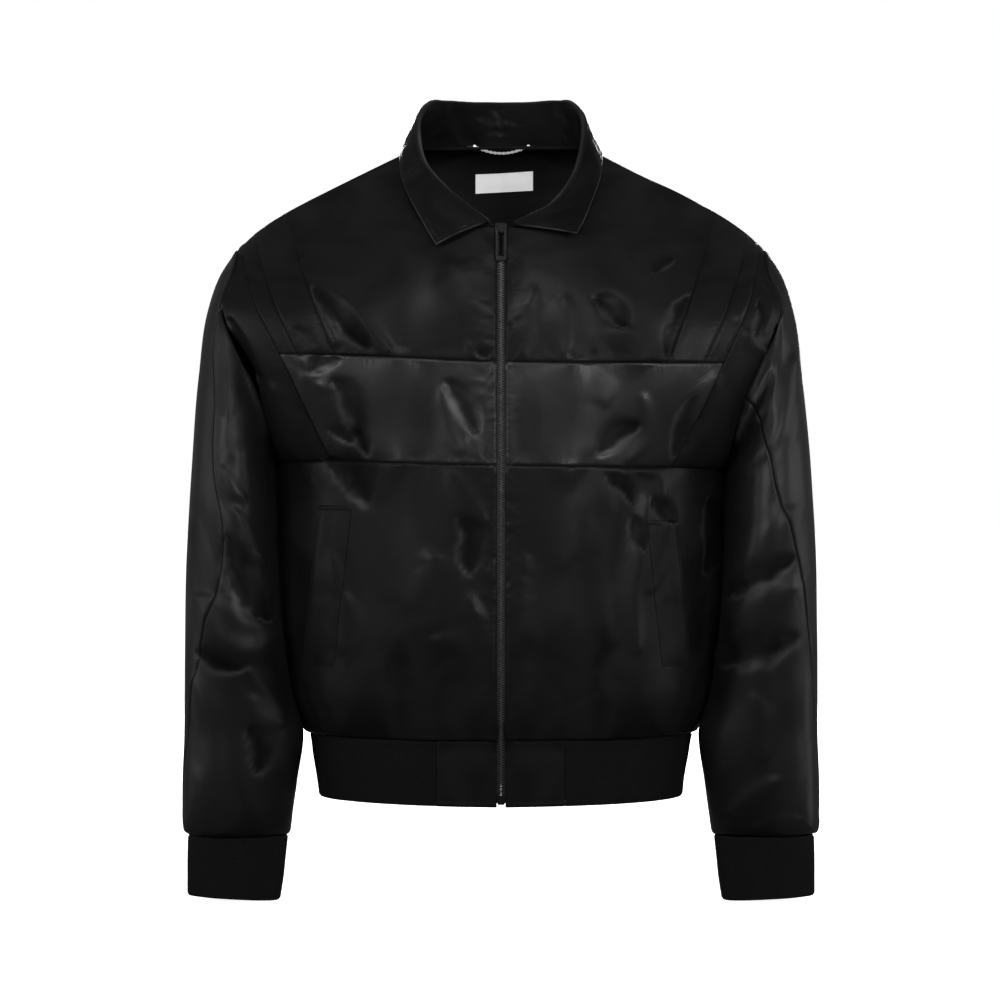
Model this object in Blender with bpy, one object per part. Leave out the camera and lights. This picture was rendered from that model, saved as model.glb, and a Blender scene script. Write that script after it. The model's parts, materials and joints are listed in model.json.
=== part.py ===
# A satin zip jacket, worn open below and filled out, with rib hem and cuffs and a folded collar.
# Metres. +X is the wearer's left, the front faces -Y, +Z is up. The origin lies between the
# shoulders, at the height where the collar meets them.
import math

import bpy
import numpy as np

# Cloth and seams.
SATIN_WALL = 0.0020
RIB_WALL = 0.0030
COLLAR_WALL = 0.0022
SEAM_GAP = 0.0003

# Heights on the body.
HEM_Z = -0.638
RIB_TOP_Z = -0.576
UNDERARM_Z = -0.311
CHEST_SEAM_Z = -0.212
NECK_FRONT_Z = -0.083
NECK_SIDE_Z = 0.009
NECK_BACK_Z = 0.0215
SHOULDER_TIP_Z = -0.094

# Neck and armhole.
NECK_HALF_WIDTH = 0.083
NECK_SIDE_Y = -0.002
NECK_BACK_LEVEL = -0.083
UNDERARM_X = 0.2225
SHOULDER_TIP_X = 0.263
ARMHOLE_FRONT = 0.078
ARMHOLE_BACK = 0.082
ARMHOLE_BULGE = 0.022
BULGE_ANGLE = 111.0
BULGE_SPREAD_BELOW = 29.0
BULGE_SPREAD_ABOVE = 22.0
SHOULDER_DROP = 0.14
FRONT_DIP = 0.0024

# Zip.
ZIP_EDGE_X = 0.0042
CHAIN_HALF_WIDTH = 0.0027
CHAIN_DEPTH = 0.0024
CHAIN_SUNK = 0.0008
CHAIN_TOP_Z = -0.0885
CHAIN_END_Z = -0.6280
TAPE_WIDTH = 0.0105
TAPE_WALL = 0.0010
TAPE_SLANT = 0.0007
TAPE_END_Z = -0.6340
HEM_TAB_X = 0.0620
SLIDER_TOP_Z = -0.0785
SLIDER_HEIGHT = 0.0104
SLIDER_HALF_WIDTH = 0.0056
SLIDER_PLATE = 0.0022
BRIDGE_HALF_WIDTH = 0.0014
BRIDGE_WALL = 0.0009
EYE_SIZE = 0.0027
EYE_DROP = 0.0075
PULL_HALF_WIDTH = 0.0051
PULL_RAIL = 0.0022
PULL_LENGTH = 0.0298
PULL_THICK = 0.0016
PULL_FOOT = 0.0042
PULL_LEAN = 3.0

# Half outline of the body by height: half width, depth in front and depth behind.
BODY = (
    "z half_width front back",
    (-0.638, 0.1815, 0.1060, 0.0985),
    (-0.624, 0.1830, 0.1068, 0.0990),
    (-0.597, 0.1872, 0.1085, 0.1005),
    (-0.578, 0.1905, 0.1100, 0.1020),
    (-0.574, 0.1918, 0.1120, 0.1035),
    (-0.562, 0.1975, 0.1185, 0.1095),
    (-0.545, 0.2045, 0.1235, 0.1140),
    (-0.515, 0.2110, 0.1270, 0.1170),
    (-0.480, 0.2158, 0.1285, 0.1190),
    (-0.400, 0.2216, 0.1295, 0.1225),
    (-0.344, 0.2225, 0.1300, 0.1250),
    (-0.311, 0.2225, 0.1302, 0.1262),
    (-0.250, 0.2225, 0.1300, 0.1275),
    (-0.213, 0.2225, 0.1285, 0.1275),
    (-0.150, 0.2225, 0.1240, 0.1250),
    (-0.110, 0.2225, 0.1195, 0.1215),
    (-0.083, 0.2225, 0.1175, 0.1180),
    (-0.040, 0.2225, 0.1150, 0.1080),
    (0.0215, 0.2225, 0.1150, 0.0860),
)

# How each row across the body runs: its place on the armhole in degrees from the underarm, how
# far its two handles reach, and the angle at which it meets the side.
ROWS = (
    "level armhole reach_in reach_out lean",
    (-0.638, 0.0, 0.60, 0.60, 90.0),
    (-0.311, 0.0, 0.60, 0.60, 90.0),
    (-0.298, 24.0, 0.58, 0.54, 86.0),
    (-0.275, 46.0, 0.53, 0.49, 77.0),
    (-0.245, 67.0, 0.48, 0.45, 64.0),
    (-0.212, 86.0, 0.45, 0.41, 52.0),
    (-0.180, 102.0, 0.43, 0.38, 44.0),
    (-0.150, 117.0, 0.41, 0.36, 37.0),
    (-0.115, 134.0, 0.39, 0.35, 29.0),
    (-0.083, 148.0, 0.37, 0.34, 22.0),
    (-0.040, 165.0, 0.35, 0.34, 11.0),
    (0.000, 180.0, 0.33, 0.33, 0.0),
)

# The places round the armhole, in degrees, where body and sleeve share a point.
ARMHOLE_STEPS = (0, 20, 40, 60, 69, 86, 100, 113, 126, 137, 148, 155, 161, 167, 173, 180)

# Rings of the sleeve from the armhole to the cuff. The outer and inner edge have their own
# heights, and the depth is counted from the ring's own middle.
SLEEVE = (
    "along outer_z inner_z outer_x inner_x middle_y front back",
    (0.000, -0.0940, -0.3110, 0.2630, 0.2225, 0.000, 0.078, 0.082),
    (0.050, -0.1200, -0.3200, 0.2790, 0.2250, -0.003, 0.081, 0.083),
    (0.115, -0.1590, -0.3350, 0.2910, 0.2245, -0.009, 0.082, 0.081),
    (0.220, -0.2260, -0.3680, 0.2990, 0.2220, -0.020, 0.079, 0.077),
    (0.350, -0.3100, -0.4150, 0.3055, 0.2193, -0.030, 0.073, 0.071),
    (0.480, -0.3990, -0.4550, 0.3100, 0.2165, -0.035, 0.066, 0.065),
    (0.610, -0.4750, -0.4900, 0.3118, 0.2130, -0.036, 0.060, 0.059),
    (0.710, -0.5350, -0.5350, 0.3125, 0.2060, -0.036, 0.056, 0.055),
    (0.780, -0.5770, -0.5750, 0.3130, 0.1950, -0.035, 0.054, 0.053),
    (0.860, -0.6220, -0.6200, 0.3145, 0.2010, -0.035, 0.050, 0.049),
    (0.930, -0.6550, -0.6530, 0.3145, 0.2055, -0.035, 0.044, 0.043),
    (0.975, -0.6690, -0.6690, 0.3130, 0.2078, -0.035, 0.036, 0.035),
    (1.000, -0.6738, -0.6738, 0.3100, 0.2095, -0.035, 0.028, 0.028),
)
SLEEVE_RINGS = (0, 0.03, 0.065, 0.11, 0.17, 0.23, 0.30, 0.37, 0.44, 0.51, 0.58, 0.65, 0.72,
                0.78, 0.84, 0.90, 0.95, 1.0)
UNDER_SEAM_ANGLE = 60.0

# Where the sleeve's front seam runs, in degrees round the ring, on the wearer's right and left.
SLEEVE_SEAM_R = (
    "along angle",
    (0.00, 113.0),
    (0.06, 124.0),
    (0.13, 128.5),
    (0.20, 120.0),
    (0.31, 113.0),
    (0.39, 97.0),
    (0.46, 99.0),
    (0.52, 106.0),
    (0.58, 118.0),
    (0.65, 132.0),
    (0.80, 157.0),
    (1.00, 176.0),
)
SLEEVE_SEAM_L = (
    "along angle",
    (0.00, 69.0),
    (0.11, 77.0),
    (0.22, 88.0),
    (0.31, 96.0),
    (0.40, 110.0),
    (0.48, 123.0),
    (0.56, 135.0),
    (0.75, 159.0),
    (1.00, 176.0),
)

# Rib cuff by height: outer and inner edge, the middle of its depth and half its depth.
CUFF = (
    "z outer_x inner_x middle_y half_depth",
    (-0.7352, 0.3090, 0.2180, -0.037, 0.0235),
    (-0.7050, 0.3092, 0.2135, -0.036, 0.0250),
    (-0.6741, 0.3088, 0.2103, -0.035, 0.0272),
)
CUFF_SLANT = 0.0024

# The slanting seams of the front, as distance from the middle by height.
YOKE_SEAM = ("z x", (-0.212, 0.1595), (-0.113, 0.1954), (-0.060, 0.2140))
STRIP_SEAM = ("z x", (-0.212, 0.1950), (-0.150, 0.2215), (-0.088, 0.2430))
SIDE_SEAM = ("z x", (-0.311, 0.1655), (-0.212, 0.2135), (-0.140, 0.2450), (-0.094, 0.2560))

# Collar from the middle of the back, 0, to the zip, 1: the roll line and the leaf's edge.
COLLAR = (
    "turn roll_x roll_y roll_z edge_x edge_y edge_z",
    (0.00, 0.0000, 0.0930, 0.0660, 0.0000, 0.1035, 0.0065),
    (0.15, 0.0290, 0.0905, 0.0662, 0.0380, 0.0985, 0.0070),
    (0.30, 0.0550, 0.0790, 0.0660, 0.0720, 0.0820, 0.0080),
    (0.40, 0.0695, 0.0550, 0.0620, 0.0905, 0.0540, 0.0075),
    (0.46, 0.0768, 0.0340, 0.0515, 0.0975, 0.0310, 0.0060),
    (0.52, 0.0808, 0.0070, 0.0350, 0.1000, 0.0060, 0.0035),
    (0.60, 0.0782, -0.0290, 0.0075, 0.0998, -0.0320, -0.0110),
    (0.68, 0.0720, -0.0560, -0.0155, 0.0965, -0.0600, -0.0300),
    (0.76, 0.0615, -0.0790, -0.0345, 0.0905, -0.0830, -0.0470),
    (0.84, 0.0465, -0.0965, -0.0520, 0.0835, -0.0990, -0.0630),
    (0.92, 0.0280, -0.1095, -0.0660, 0.0760, -0.1120, -0.0790),
    (1.00, 0.0110, -0.1175, -0.0775, 0.0675, -0.1220, -0.0948),
)
COLLAR_FOLD = 0.0026
COLLAR_START = 0.0058
LEAF_BULGE = ("turn bulge", (0.0, 0.004), (0.3, 0.003), (0.5, 0.001), (0.7, 0.004), (1.0, 0.0055))
POINT_SHIFT_R = (0.0055, -0.0055)
POINT_SHIFT_L = (-0.0050, 0.0055)
ROLL_SHIFT = 0.0060

# Lines of the lower front by height: through the pocket welt they are its two long edges.
WELT_R = (
    "z outer inner",
    (-0.576, 0.1830, 0.1580),
    (-0.520, 0.1965, 0.1630),
    (-0.351, 0.1765, 0.1440),
    (-0.311, 0.1740, 0.1410),
)
WELT_L = (
    "z outer inner",
    (-0.576, 0.1790, 0.1560),
    (-0.532, 0.1900, 0.1590),
    (-0.363, 0.1720, 0.1400),
    (-0.311, 0.1700, 0.1360),
)
WELT_WALL = 0.0014

# Inside of the back neck.
LABEL_HALF_WIDTH = 0.0302
LABEL_TOP_Z = -0.0055
LABEL_END_Z = -0.0243
LABEL_WALL = 0.0006
LABEL_TILT = 0.0030
LABEL_SHIFT = 0.0034
HANGER_X = 0.0295
HANGER_SHIFT = 0.0005
HANGER_Y = 0.0738
HANGER_Z = 0.0192
HANGER_SAG = 0.0078
HANGER_RADIUS = 0.0012
HANGER_TAB = (0.0058, 0.0026, 0.0060)
BACK_COLUMNS = 12

# How far the cloth is pulled up, by distance from the middle, most at the chest seams.
SWAY = ("x lift", (-0.32, 0.0060), (-0.22, 0.0080), (0.0, 0.0), (0.22, -0.0025), (0.32, -0.0025))
SWAY_Z = -0.250
SWAY_SPREAD = 0.090

# The largest folds: face (-1 front, 1 back), ends in x and z, half width and height.
FOLDS = (
    "face x0 z0 x1 z1 width height",
    (-1, -0.190, -0.135, -0.125, -0.205, 0.012, -0.0040),
    (-1, -0.172, -0.125, -0.108, -0.200, 0.012, 0.0040),
    (-1, -0.150, -0.240, -0.120, -0.300, 0.014, -0.0040),
    (-1, -0.040, -0.240, -0.020, -0.295, 0.012, -0.0030),
    (-1, 0.150, -0.110, 0.130, -0.200, 0.020, 0.0045),
    (-1, 0.095, -0.145, 0.120, -0.180, 0.014, -0.0030),
    (-1, 0.060, -0.225, 0.075, -0.300, 0.018, 0.0035),
    (-1, 0.125, -0.240, 0.105, -0.290, 0.014, -0.0030),
    (-1, 0.110, -0.330, 0.120, -0.470, 0.014, 0.0045),
    (-1, -0.060, -0.400, -0.030, -0.520, 0.018, 0.0030),
    (-1, -0.265, -0.215, -0.243, -0.260, 0.011, -0.0050),
    (-1, 0.268, -0.145, 0.283, -0.175, 0.011, 0.0040),
    (-1, 0.290, -0.235, 0.225, -0.325, 0.013, 0.0050),
    (-1, 0.270, -0.230, 0.222, -0.300, 0.010, -0.0045),
    (-1, -0.265, -0.360, -0.235, -0.430, 0.012, 0.0045),
    (-1, -0.290, -0.445, -0.250, -0.468, 0.012, 0.0060),
    (-1, -0.290, -0.490, -0.250, -0.483, 0.010, 0.0040),
    (-1, -0.285, -0.465, -0.235, -0.482, 0.009, -0.0050),
    (-1, -0.245, -0.515, -0.215, -0.560, 0.011, 0.0045),
    (-1, -0.300, -0.530, -0.250, -0.650, 0.017, 0.0055),
    (-1, 0.295, -0.370, 0.245, -0.420, 0.016, 0.0045),
    (-1, 0.285, -0.435, 0.240, -0.468, 0.016, 0.0060),
    (-1, 0.270, -0.610, 0.235, -0.665, 0.014, 0.0035),
    (1, -0.250, -0.210, -0.190, -0.330, 0.016, 0.0045),
    (1, 0.245, -0.220, 0.180, -0.320, 0.016, 0.0045),
    (1, -0.290, -0.450, -0.220, -0.490, 0.014, 0.0055),
    (1, 0.290, -0.440, 0.225, -0.500, 0.014, 0.0055),
    (1, -0.110, -0.300, -0.080, -0.500, 0.022, 0.0040),
    (1, 0.060, -0.330, 0.110, -0.520, 0.022, 0.0040),
)

# Colour, roughness and metallic value of each material.
FINISHES = {
    "satin": ((0.008, 0.008, 0.009), 0.32, 0.0),
    "rib_knit": ((0.006, 0.006, 0.006), 0.90, 0.0),
    "zip_tape": ((0.005, 0.005, 0.005), 0.80, 0.0),
    "zip_metal": ((0.28, 0.28, 0.29), 0.30, 1.0),
    "chain_metal": ((0.60, 0.60, 0.60), 0.22, 1.0),
    "label_cloth": ((0.85, 0.85, 0.84), 0.70, 0.0),
}


def smooth(at, knots, values):
    # Cubic curve through the knots. Its slope is level at each local high or low point.
    step = np.diff(knots)
    rise = np.diff(values) / step
    slope = np.concatenate([rise[:1], rise[:-1], rise[-1:]])
    slope[1:-1] = (rise[:-1] * step[1:] + rise[1:] * step[:-1]) / (step[1:] + step[:-1])
    slope[1:-1][rise[:-1] * rise[1:] <= 0] = 0
    at = np.asarray(at, float)
    slot = np.clip(np.searchsorted(knots, at, side="right") - 1, 0, len(step) - 1)
    width = step[slot]
    part = np.clip((at - knots[slot]) / width, 0, 1)
    first = values[slot]
    last = values[slot + 1]
    leave = slope[slot] * width
    arrive = slope[slot + 1] * width
    curl = 2 * (first - last) + leave + arrive
    bend = 3 * (last - first) - 2 * leave - arrive
    return first + part * (leave + part * (bend + part * curl))


def read(table, at):
    # Every column after the first of a table, at the given values of its first column.
    rows = np.array(table[1:], float)
    rows = rows[np.argsort(rows[:, 0])]
    return [smooth(at, rows[:, 0], rows[:, number]) for number in range(1, rows.shape[1])]


def unit(vectors):
    return vectors / np.maximum(np.linalg.norm(vectors, axis=-1, keepdims=True), 1e-12)


def stack(x, y, z):
    x, y, z = np.broadcast_arrays(x, y, z)
    return np.stack([x, y, z], axis=-1).astype(float)


def mirror(points, side):
    return points * np.array([side, 1.0, 1.0])


def ease(part):
    part = np.clip(part, 0, 1)
    return part * part * (3 - 2 * part)


# ---- the body's surface, on the wearer's left half ----


def armhole_bulge(angle):
    turn = np.degrees(angle) % 360
    turn = np.where(turn > 180, 360 - turn, turn)
    spread = np.where(turn > BULGE_ANGLE, BULGE_SPREAD_ABOVE, BULGE_SPREAD_BELOW)
    return ARMHOLE_BULGE * np.exp(-(((turn - BULGE_ANGLE) / spread) ** 2))


def armhole(angle):
    # A point of the armhole: 0 at the underarm, a quarter turn in front, half at the shoulder.
    rise = (1 - np.cos(angle)) / 2
    depth = np.where(np.sin(angle) > 0, ARMHOLE_FRONT, ARMHOLE_BACK)
    return stack(
        UNDERARM_X + (SHOULDER_TIP_X - UNDERARM_X) * rise + armhole_bulge(angle),
        -depth * np.sin(angle),
        UNDERARM_Z + (SHOULDER_TIP_Z - UNDERARM_Z) * rise,
    )


def neckline(turn, back):
    # A point of the neck seam: turn is 0 in the middle of the front or back, and 1 at the side.
    angle = turn * math.pi / 2
    if back:
        end_y = float(read(BODY, NECK_BACK_Z)[2])
        end_z = NECK_BACK_Z
    else:
        end_y = -float(read(BODY, NECK_FRONT_Z)[1])
        end_z = NECK_FRONT_Z
    return stack(
        NECK_HALF_WIDTH * np.sin(angle),
        NECK_SIDE_Y + (end_y - NECK_SIDE_Y) * np.cos(angle),
        NECK_SIDE_Z + (end_z - NECK_SIDE_Z) * np.cos(angle),
    )


def row_start(level, back):
    # Where a row begins: on the middle line, and above it on the neck seam.
    neck_level = NECK_BACK_LEVEL if back else NECK_FRONT_Z
    top_z = NECK_BACK_Z if back else NECK_FRONT_Z
    climb = (top_z - UNDERARM_Z) / (neck_level - UNDERARM_Z)
    height = np.where(level > UNDERARM_Z, UNDERARM_Z + (level - UNDERARM_Z) * climb, level)
    _, front, behind = read(BODY, height)
    dip = FRONT_DIP * ease((RIB_TOP_Z - level) / (RIB_TOP_Z - HEM_Z))
    middle = stack(0.0, behind if back else -front, height if back else height - dip)
    turn = np.clip((level - neck_level) / -neck_level, 0, 1)
    return np.where((level > neck_level)[..., None], neckline(turn, back), middle)


def row_end(level, back):
    # Where a row ends: on the side seam, and above it on the armhole.
    angle = np.radians(read(ROWS, level)[0])
    width = read(BODY, level)[0]
    side = stack(width, 0.0, level)
    hole = armhole(2 * math.pi - angle if back else angle)
    return np.where((level > UNDERARM_Z)[..., None], hole, side)


def level_at(angle):
    # The row that ends at a place on the armhole, in degrees from the underarm.
    levels = np.linspace(UNDERARM_Z, 0.0, 2001)
    return np.interp(angle, read(ROWS, levels)[0], levels)


def body_point(level, across, back):
    # Each row is a cubic arc from the middle to the side, square to the middle.
    level, across = np.broadcast_arrays(np.asarray(level, float), np.asarray(across, float))
    _, reach_in, reach_out, lean = read(ROWS, level)
    start = row_start(level, back)
    end = row_end(level, back)
    facing = -1.0 if back else 1.0
    lean = np.radians(lean)
    wide = end[..., 0] - start[..., 0]
    deep = end[..., 1] - start[..., 1]
    span = np.hypot(wide * np.cos(lean), deep * np.sin(lean)) * reach_out
    near_x = start[..., 0] + reach_in * wide
    far_x = end[..., 0] - span * np.cos(lean)
    far_y = end[..., 1] - span * np.sin(lean) * facing
    rest = 1 - across
    weights = (rest**3, 3 * rest**2 * across, 3 * rest * across**2, across**3)
    x = weights[0] * start[..., 0] + weights[1] * near_x + weights[2] * far_x
    x = x + weights[3] * end[..., 0]
    y = (weights[0] + weights[1]) * start[..., 1] + weights[2] * far_y + weights[3] * end[..., 1]
    share = np.clip((x - start[..., 0]) / wide, 0, 1)
    drop = SHOULDER_DROP * ease((level - CHEST_SEAM_Z) / -CHEST_SEAM_Z)
    share = share * (1 - drop) + share**8 * drop
    z = start[..., 2] + (end[..., 2] - start[..., 2]) * share
    return stack(x, y, z)


def slopes(function, first, second, low, high):
    # Tangents of a surface along its two parameters, kept inside the given limits.
    small = 1e-4
    less = [np.maximum(value - small, edge) for value, edge in zip((first, second), low)]
    more = [np.minimum(value + small, edge) for value, edge in zip((first, second), high)]
    along = function(more[0], second) - function(less[0], second)
    around = function(first, more[1]) - function(first, less[1])
    return unit(along), unit(around)


def body_slopes(level, across, back):
    low = (HEM_Z, 0.0)
    above = np.where(level > UNDERARM_Z, 0.0, UNDERARM_Z)
    return slopes(lambda a, b: body_point(a, b, back), level, across, low, (above, 1.0))


def body_normal(level, across, back):
    up, outward = body_slopes(level, across, back)
    normal = np.cross(outward, up)
    at_middle = (across < 1e-6) & (level <= (NECK_BACK_LEVEL if back else NECK_FRONT_Z) + 1e-6)
    normal[..., 0] = np.where(at_middle, 0.0, normal[..., 0])
    normal = unit(normal)
    return -normal if back else normal


# ---- the sleeve's surface ----


def sleeve_point(angle, along):
    outer_z, inner_z, outer_x, inner_x, middle_y, front, behind = read(SLEEVE, along)
    rise = (1 - np.cos(angle)) / 2
    depth = np.where(np.sin(angle) > 0, front, behind)
    fade = np.clip(1 - along / 0.16, 0, 1) ** 2
    return stack(
        inner_x + (outer_x - inner_x) * rise + armhole_bulge(angle) * fade,
        middle_y - depth * np.sin(angle),
        inner_z + (outer_z - inner_z) * rise,
    )


def sleeve_slopes(angle, along):
    low = (-10.0, 0.0)
    high = (10.0, 1.0)
    return slopes(sleeve_point, angle, along, low, high)


def sleeve_normal(angle, along):
    around, down = sleeve_slopes(angle, along)
    return unit(np.cross(down, around))


def armhole_seam(angle):
    # Direction into the wall and direction from body to sleeve, for a mitred seam.
    turn = np.degrees(angle) % 360
    behind = turn > 180
    fold = np.where(behind, 360 - turn, turn)
    level = np.maximum(level_at(fold), UNDERARM_Z + 2e-4)
    outs = []
    ends = []
    for back in (False, True):
        outs.append(body_normal(level, np.ones_like(level), back))
        ends.append(body_slopes(level, np.ones_like(level), back)[1])
    body_out = np.where(behind[..., None], outs[1], outs[0])
    body_end = np.where(behind[..., None], ends[1], ends[0])
    around, down = sleeve_slopes(angle, np.zeros_like(angle))
    sleeve_out = unit(np.cross(down, around))
    inside = -unit(body_out + sleeve_out)
    across = unit(np.cross(around, inside))
    sign = np.sign(np.sum(across * (body_end + down), axis=-1, keepdims=True))
    return inside, across * sign


def shoulder_seam(across):
    # Direction into the wall and direction from front to back along the shoulder.
    level = np.zeros_like(across)
    front_up, out = body_slopes(level, across, False)
    back_up, _ = body_slopes(level, across, True)
    normals = body_normal(level, across, False) + body_normal(level, across, True)
    inside = -unit(normals)
    over = unit(np.cross(out, inside))
    sign = np.sign(np.sum(over * (front_up - back_up), axis=-1, keepdims=True))
    return inside, over * sign


# ---- folds ----


def fold_height(points, normals, folds=FOLDS):
    # Sum of soft ridges and troughs, each round a line in the front view and dying out at its
    # ends. It fades where the cloth turns from front to back.
    height = np.zeros(points.shape[:-1])
    for face, x0, z0, x1, z1, width, rise in folds[1:]:
        run = np.array([x1 - x0, z1 - z0])
        length = np.hypot(*run)
        part_x = points[..., 0] - x0
        part_z = points[..., 2] - z0
        along = (part_x * run[0] + part_z * run[1]) / length
        beside = (part_x * run[1] - part_z * run[0]) / length
        beyond = along - np.clip(along, 0, length)
        bump = np.exp(-((beside / width) ** 2) - (beyond / width) ** 2)
        height += rise * bump * ease(face * normals[..., 1] / 0.35)
    return height


# ---- walls ----


def sway(points):
    # The cloth hangs a little higher on the wearer's right.
    lift = read(SWAY, points[..., 0])[0]
    lift = lift * np.exp(-(((points[..., 2] - SWAY_Z) / SWAY_SPREAD) ** 2))
    return points + lift[..., None] * np.array([0.0, 0.0, 1.0])


def place(name, points, faces, finish):
    points = sway(points)
    mesh = bpy.data.meshes.new(name)
    mesh.from_pydata(points.tolist(), [], faces)
    mesh.shade_smooth()
    mesh.set_sharp_from_angle(angle=math.radians(40))
    mesh.materials.append(bpy.data.materials[finish])
    made = bpy.data.objects.new(name, mesh)
    bpy.context.scene.collection.objects.link(made)
    return made


def cloth(name, patches, finish):
    # A closed wall from pairs of grids, the face that shows and the face behind it. Grids that
    # share an edge are joined there, and every free edge gets a rim. Every cell is halved the
    # same way, so that pieces which share points also share their faces.
    shown = np.concatenate([outer.reshape(-1, 3) for outer, _ in patches])
    hidden = np.concatenate([inner.reshape(-1, 3) for _, inner in patches])
    halves = []
    start = 0
    for outer, inner in patches:
        rows, columns = outer.shape[:2]
        index = np.arange(rows * columns).reshape(rows, columns) + start
        start += rows * columns
        low, high = index[:-1], index[1:]
        one, two, three, four = low[:, :-1], low[:, 1:], high[:, 1:], high[:, :-1]
        half = np.stack([np.stack([one, two, three], -1), np.stack([one, three, four], -1)])
        half = half.reshape(-1, 3)
        turn = np.cross(shown[half[:, 1]] - shown[half[:, 0]], shown[half[:, 2]] - shown[half[:, 0]])
        away = shown[half[:, 0]] - hidden[half[:, 0]]
        halves.append(half if np.sum(turn * away) > 0 else half[:, ::-1])
    keys = np.round(shown, 6) + 0.0
    _, first, joined = np.unique(keys, axis=0, return_index=True, return_inverse=True)
    halves = joined.reshape(-1)[np.concatenate(halves)]
    count = len(first)
    points = np.concatenate([shown[first], hidden[first]])
    height = np.round(points @ np.array([0.01, 0.1, 1.0]), 5)
    edges = {}
    faces = []
    for ring in halves.tolist():
        if len(set(ring)) < 3:
            continue
        faces.append(ring)
        faces.append([corner + count for corner in reversed(ring)])
        for place_, corner in enumerate(ring):
            edges[(ring[place_ - 1], corner)] = True
    for one, other in edges:
        if (other, one) in edges:
            continue
        if height[one] > height[other]:
            faces += [[other, one, other + count], [one, one + count, other + count]]
        else:
            faces += [[other, one, one + count], [other, one + count, other + count]]
    return place(name, points, faces, finish)


def body_patch(side, back, level, across, wall=SATIN_WALL, seams=True):
    # A grid of the body and the face behind it, with mitred edges at armhole and shoulder.
    level, across = np.broadcast_arrays(level, across)
    points = body_point(level, across, back)
    outward = body_normal(level, across, back)
    inside = -outward
    move = np.zeros_like(points)
    if seams:
        at_side = (across > 1 - 1e-6) & (level <= UNDERARM_Z)
        move[at_side] += np.array([0.0, 1.0 if back else -1.0, 0.0]) * SEAM_GAP / 2
        at_hole = (across > 1 - 1e-6) & (level > UNDERARM_Z - 1e-6)
        at_top = (level > -1e-6) & ~at_hole
        angle = np.radians(read(ROWS, level)[0])
        angle = 2 * math.pi - angle if back else angle
        hole_inside, hole_over = armhole_seam(angle)
        top_inside, top_over = shoulder_seam(across)
        inside = np.where(at_hole[..., None], hole_inside, inside)
        inside = np.where(at_top[..., None], top_inside, inside)
        toward = 1.0 if back else -1.0
        top_move = top_over * toward * SEAM_GAP / 2
        move = move + np.where(at_hole[..., None], -hole_over * SEAM_GAP / 2, 0.0)
        move = move + np.where((level > -1e-6)[..., None], top_move, 0.0)
    outer = mirror(points + move, side)
    inside = mirror(inside, side)
    outer = outer - inside * fold_height(outer, -inside)[..., None]
    return outer, outer + inside * wall


def lifted(side, back, level, across, near, far):
    # A grid between two distances from the body's outer face, counted outward.
    level, across = np.broadcast_arrays(level, across)
    points = mirror(body_point(level, across, back), side)
    normals = mirror(body_normal(level, across, back), side)
    points = points + normals * fold_height(points, normals)[..., None]
    return points + normals * far, points + normals * near


def across_at(level, seam, back=False, shift=0.0):
    # The place along each row where it crosses a slanting seam, or a fixed distance.
    tries = np.linspace(0, 1, 241)
    rows = body_point(level[:, None], tries[None, :], back)
    if isinstance(seam, tuple):
        target = read(seam, rows[..., 2])[0] + shift
    else:
        target = seam + shift
    beyond = rows[..., 0] - target
    hit = np.argmax(beyond >= 0, axis=1)
    hit = np.where((beyond >= 0).any(axis=1), hit, len(tries) - 1)
    before = np.maximum(hit - 1, 0)
    line = np.arange(len(level))
    gap = beyond[line, hit] - beyond[line, before]
    part = np.where(hit > 0, -beyond[line, before] / np.where(gap == 0, 1, gap), 0)
    return np.clip(tries[before] + part * (tries[hit] - tries[before]), 0, 1)


def between(level, first, last, columns):
    # Level and across for a panel bounded by two places along every row.
    share = np.linspace(0, 1, columns)
    across = first[:, None] + (last - first)[:, None] * share
    return np.broadcast_to(level[:, None], across.shape), across


def armhole_levels():
    return level_at(np.array(ARMHOLE_STEPS, float))


def welt_lines(mark, level):
    # The two long edges of the welt, carried on to the panel's ends.
    rows = np.array((WELT_R if mark == "R" else WELT_L)[1:], float)
    return [np.interp(level, rows[:, 0], rows[:, column]) for column in (1, 2)]


def lower_levels(mark):
    # Rows of the lower front, with one at either end of the welt.
    rows = np.array((WELT_R if mark == "R" else WELT_L)[1:], float)
    half = SEAM_GAP / 2
    below = np.linspace(-0.552, rows[1, 0], 3)
    above = np.linspace(rows[2, 0], UNDERARM_Z - half, 3)
    welt = np.linspace(rows[1, 0], rows[2, 0], 7)
    return np.concatenate([[RIB_TOP_Z + half, -0.5665], below, welt[1:-1], above])


def lower_grid(mark):
    # Rows and columns of the lower front. The welt fills the columns from 5 to 7.
    level = lower_levels(mark)
    outer, inner = welt_lines(mark, level)
    edge = across_at(level, ZIP_EDGE_X)
    inner = across_at_each(level, inner)
    outer = across_at_each(level, outer)
    parts = []
    for first, last, steps in ((edge, inner, 5), (inner, outer, 2), (outer, np.ones(len(level)), 3)):
        share = np.arange(steps) / steps
        parts.append(first[:, None] + (last - first)[:, None] * share)
    parts.append(np.ones((len(level), 1)))
    across = np.concatenate(parts, axis=1)
    return np.broadcast_to(level[:, None], across.shape), across


def panel(name, side, level, first, last, columns, finish="satin"):
    return cloth(name, [body_patch(side, False, *between(level, first, last, columns))], finish)


# ---- the pieces ----


def make_materials():
    for name, (colour, roughness, metallic) in FINISHES.items():
        material = bpy.data.materials.new(name)
        material.use_nodes = True
        shader = material.node_tree.nodes["Principled BSDF"]
        shader.inputs["Base Color"].default_value = (*colour, 1)
        shader.inputs["Roughness"].default_value = roughness
        shader.inputs["Metallic"].default_value = metallic


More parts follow.
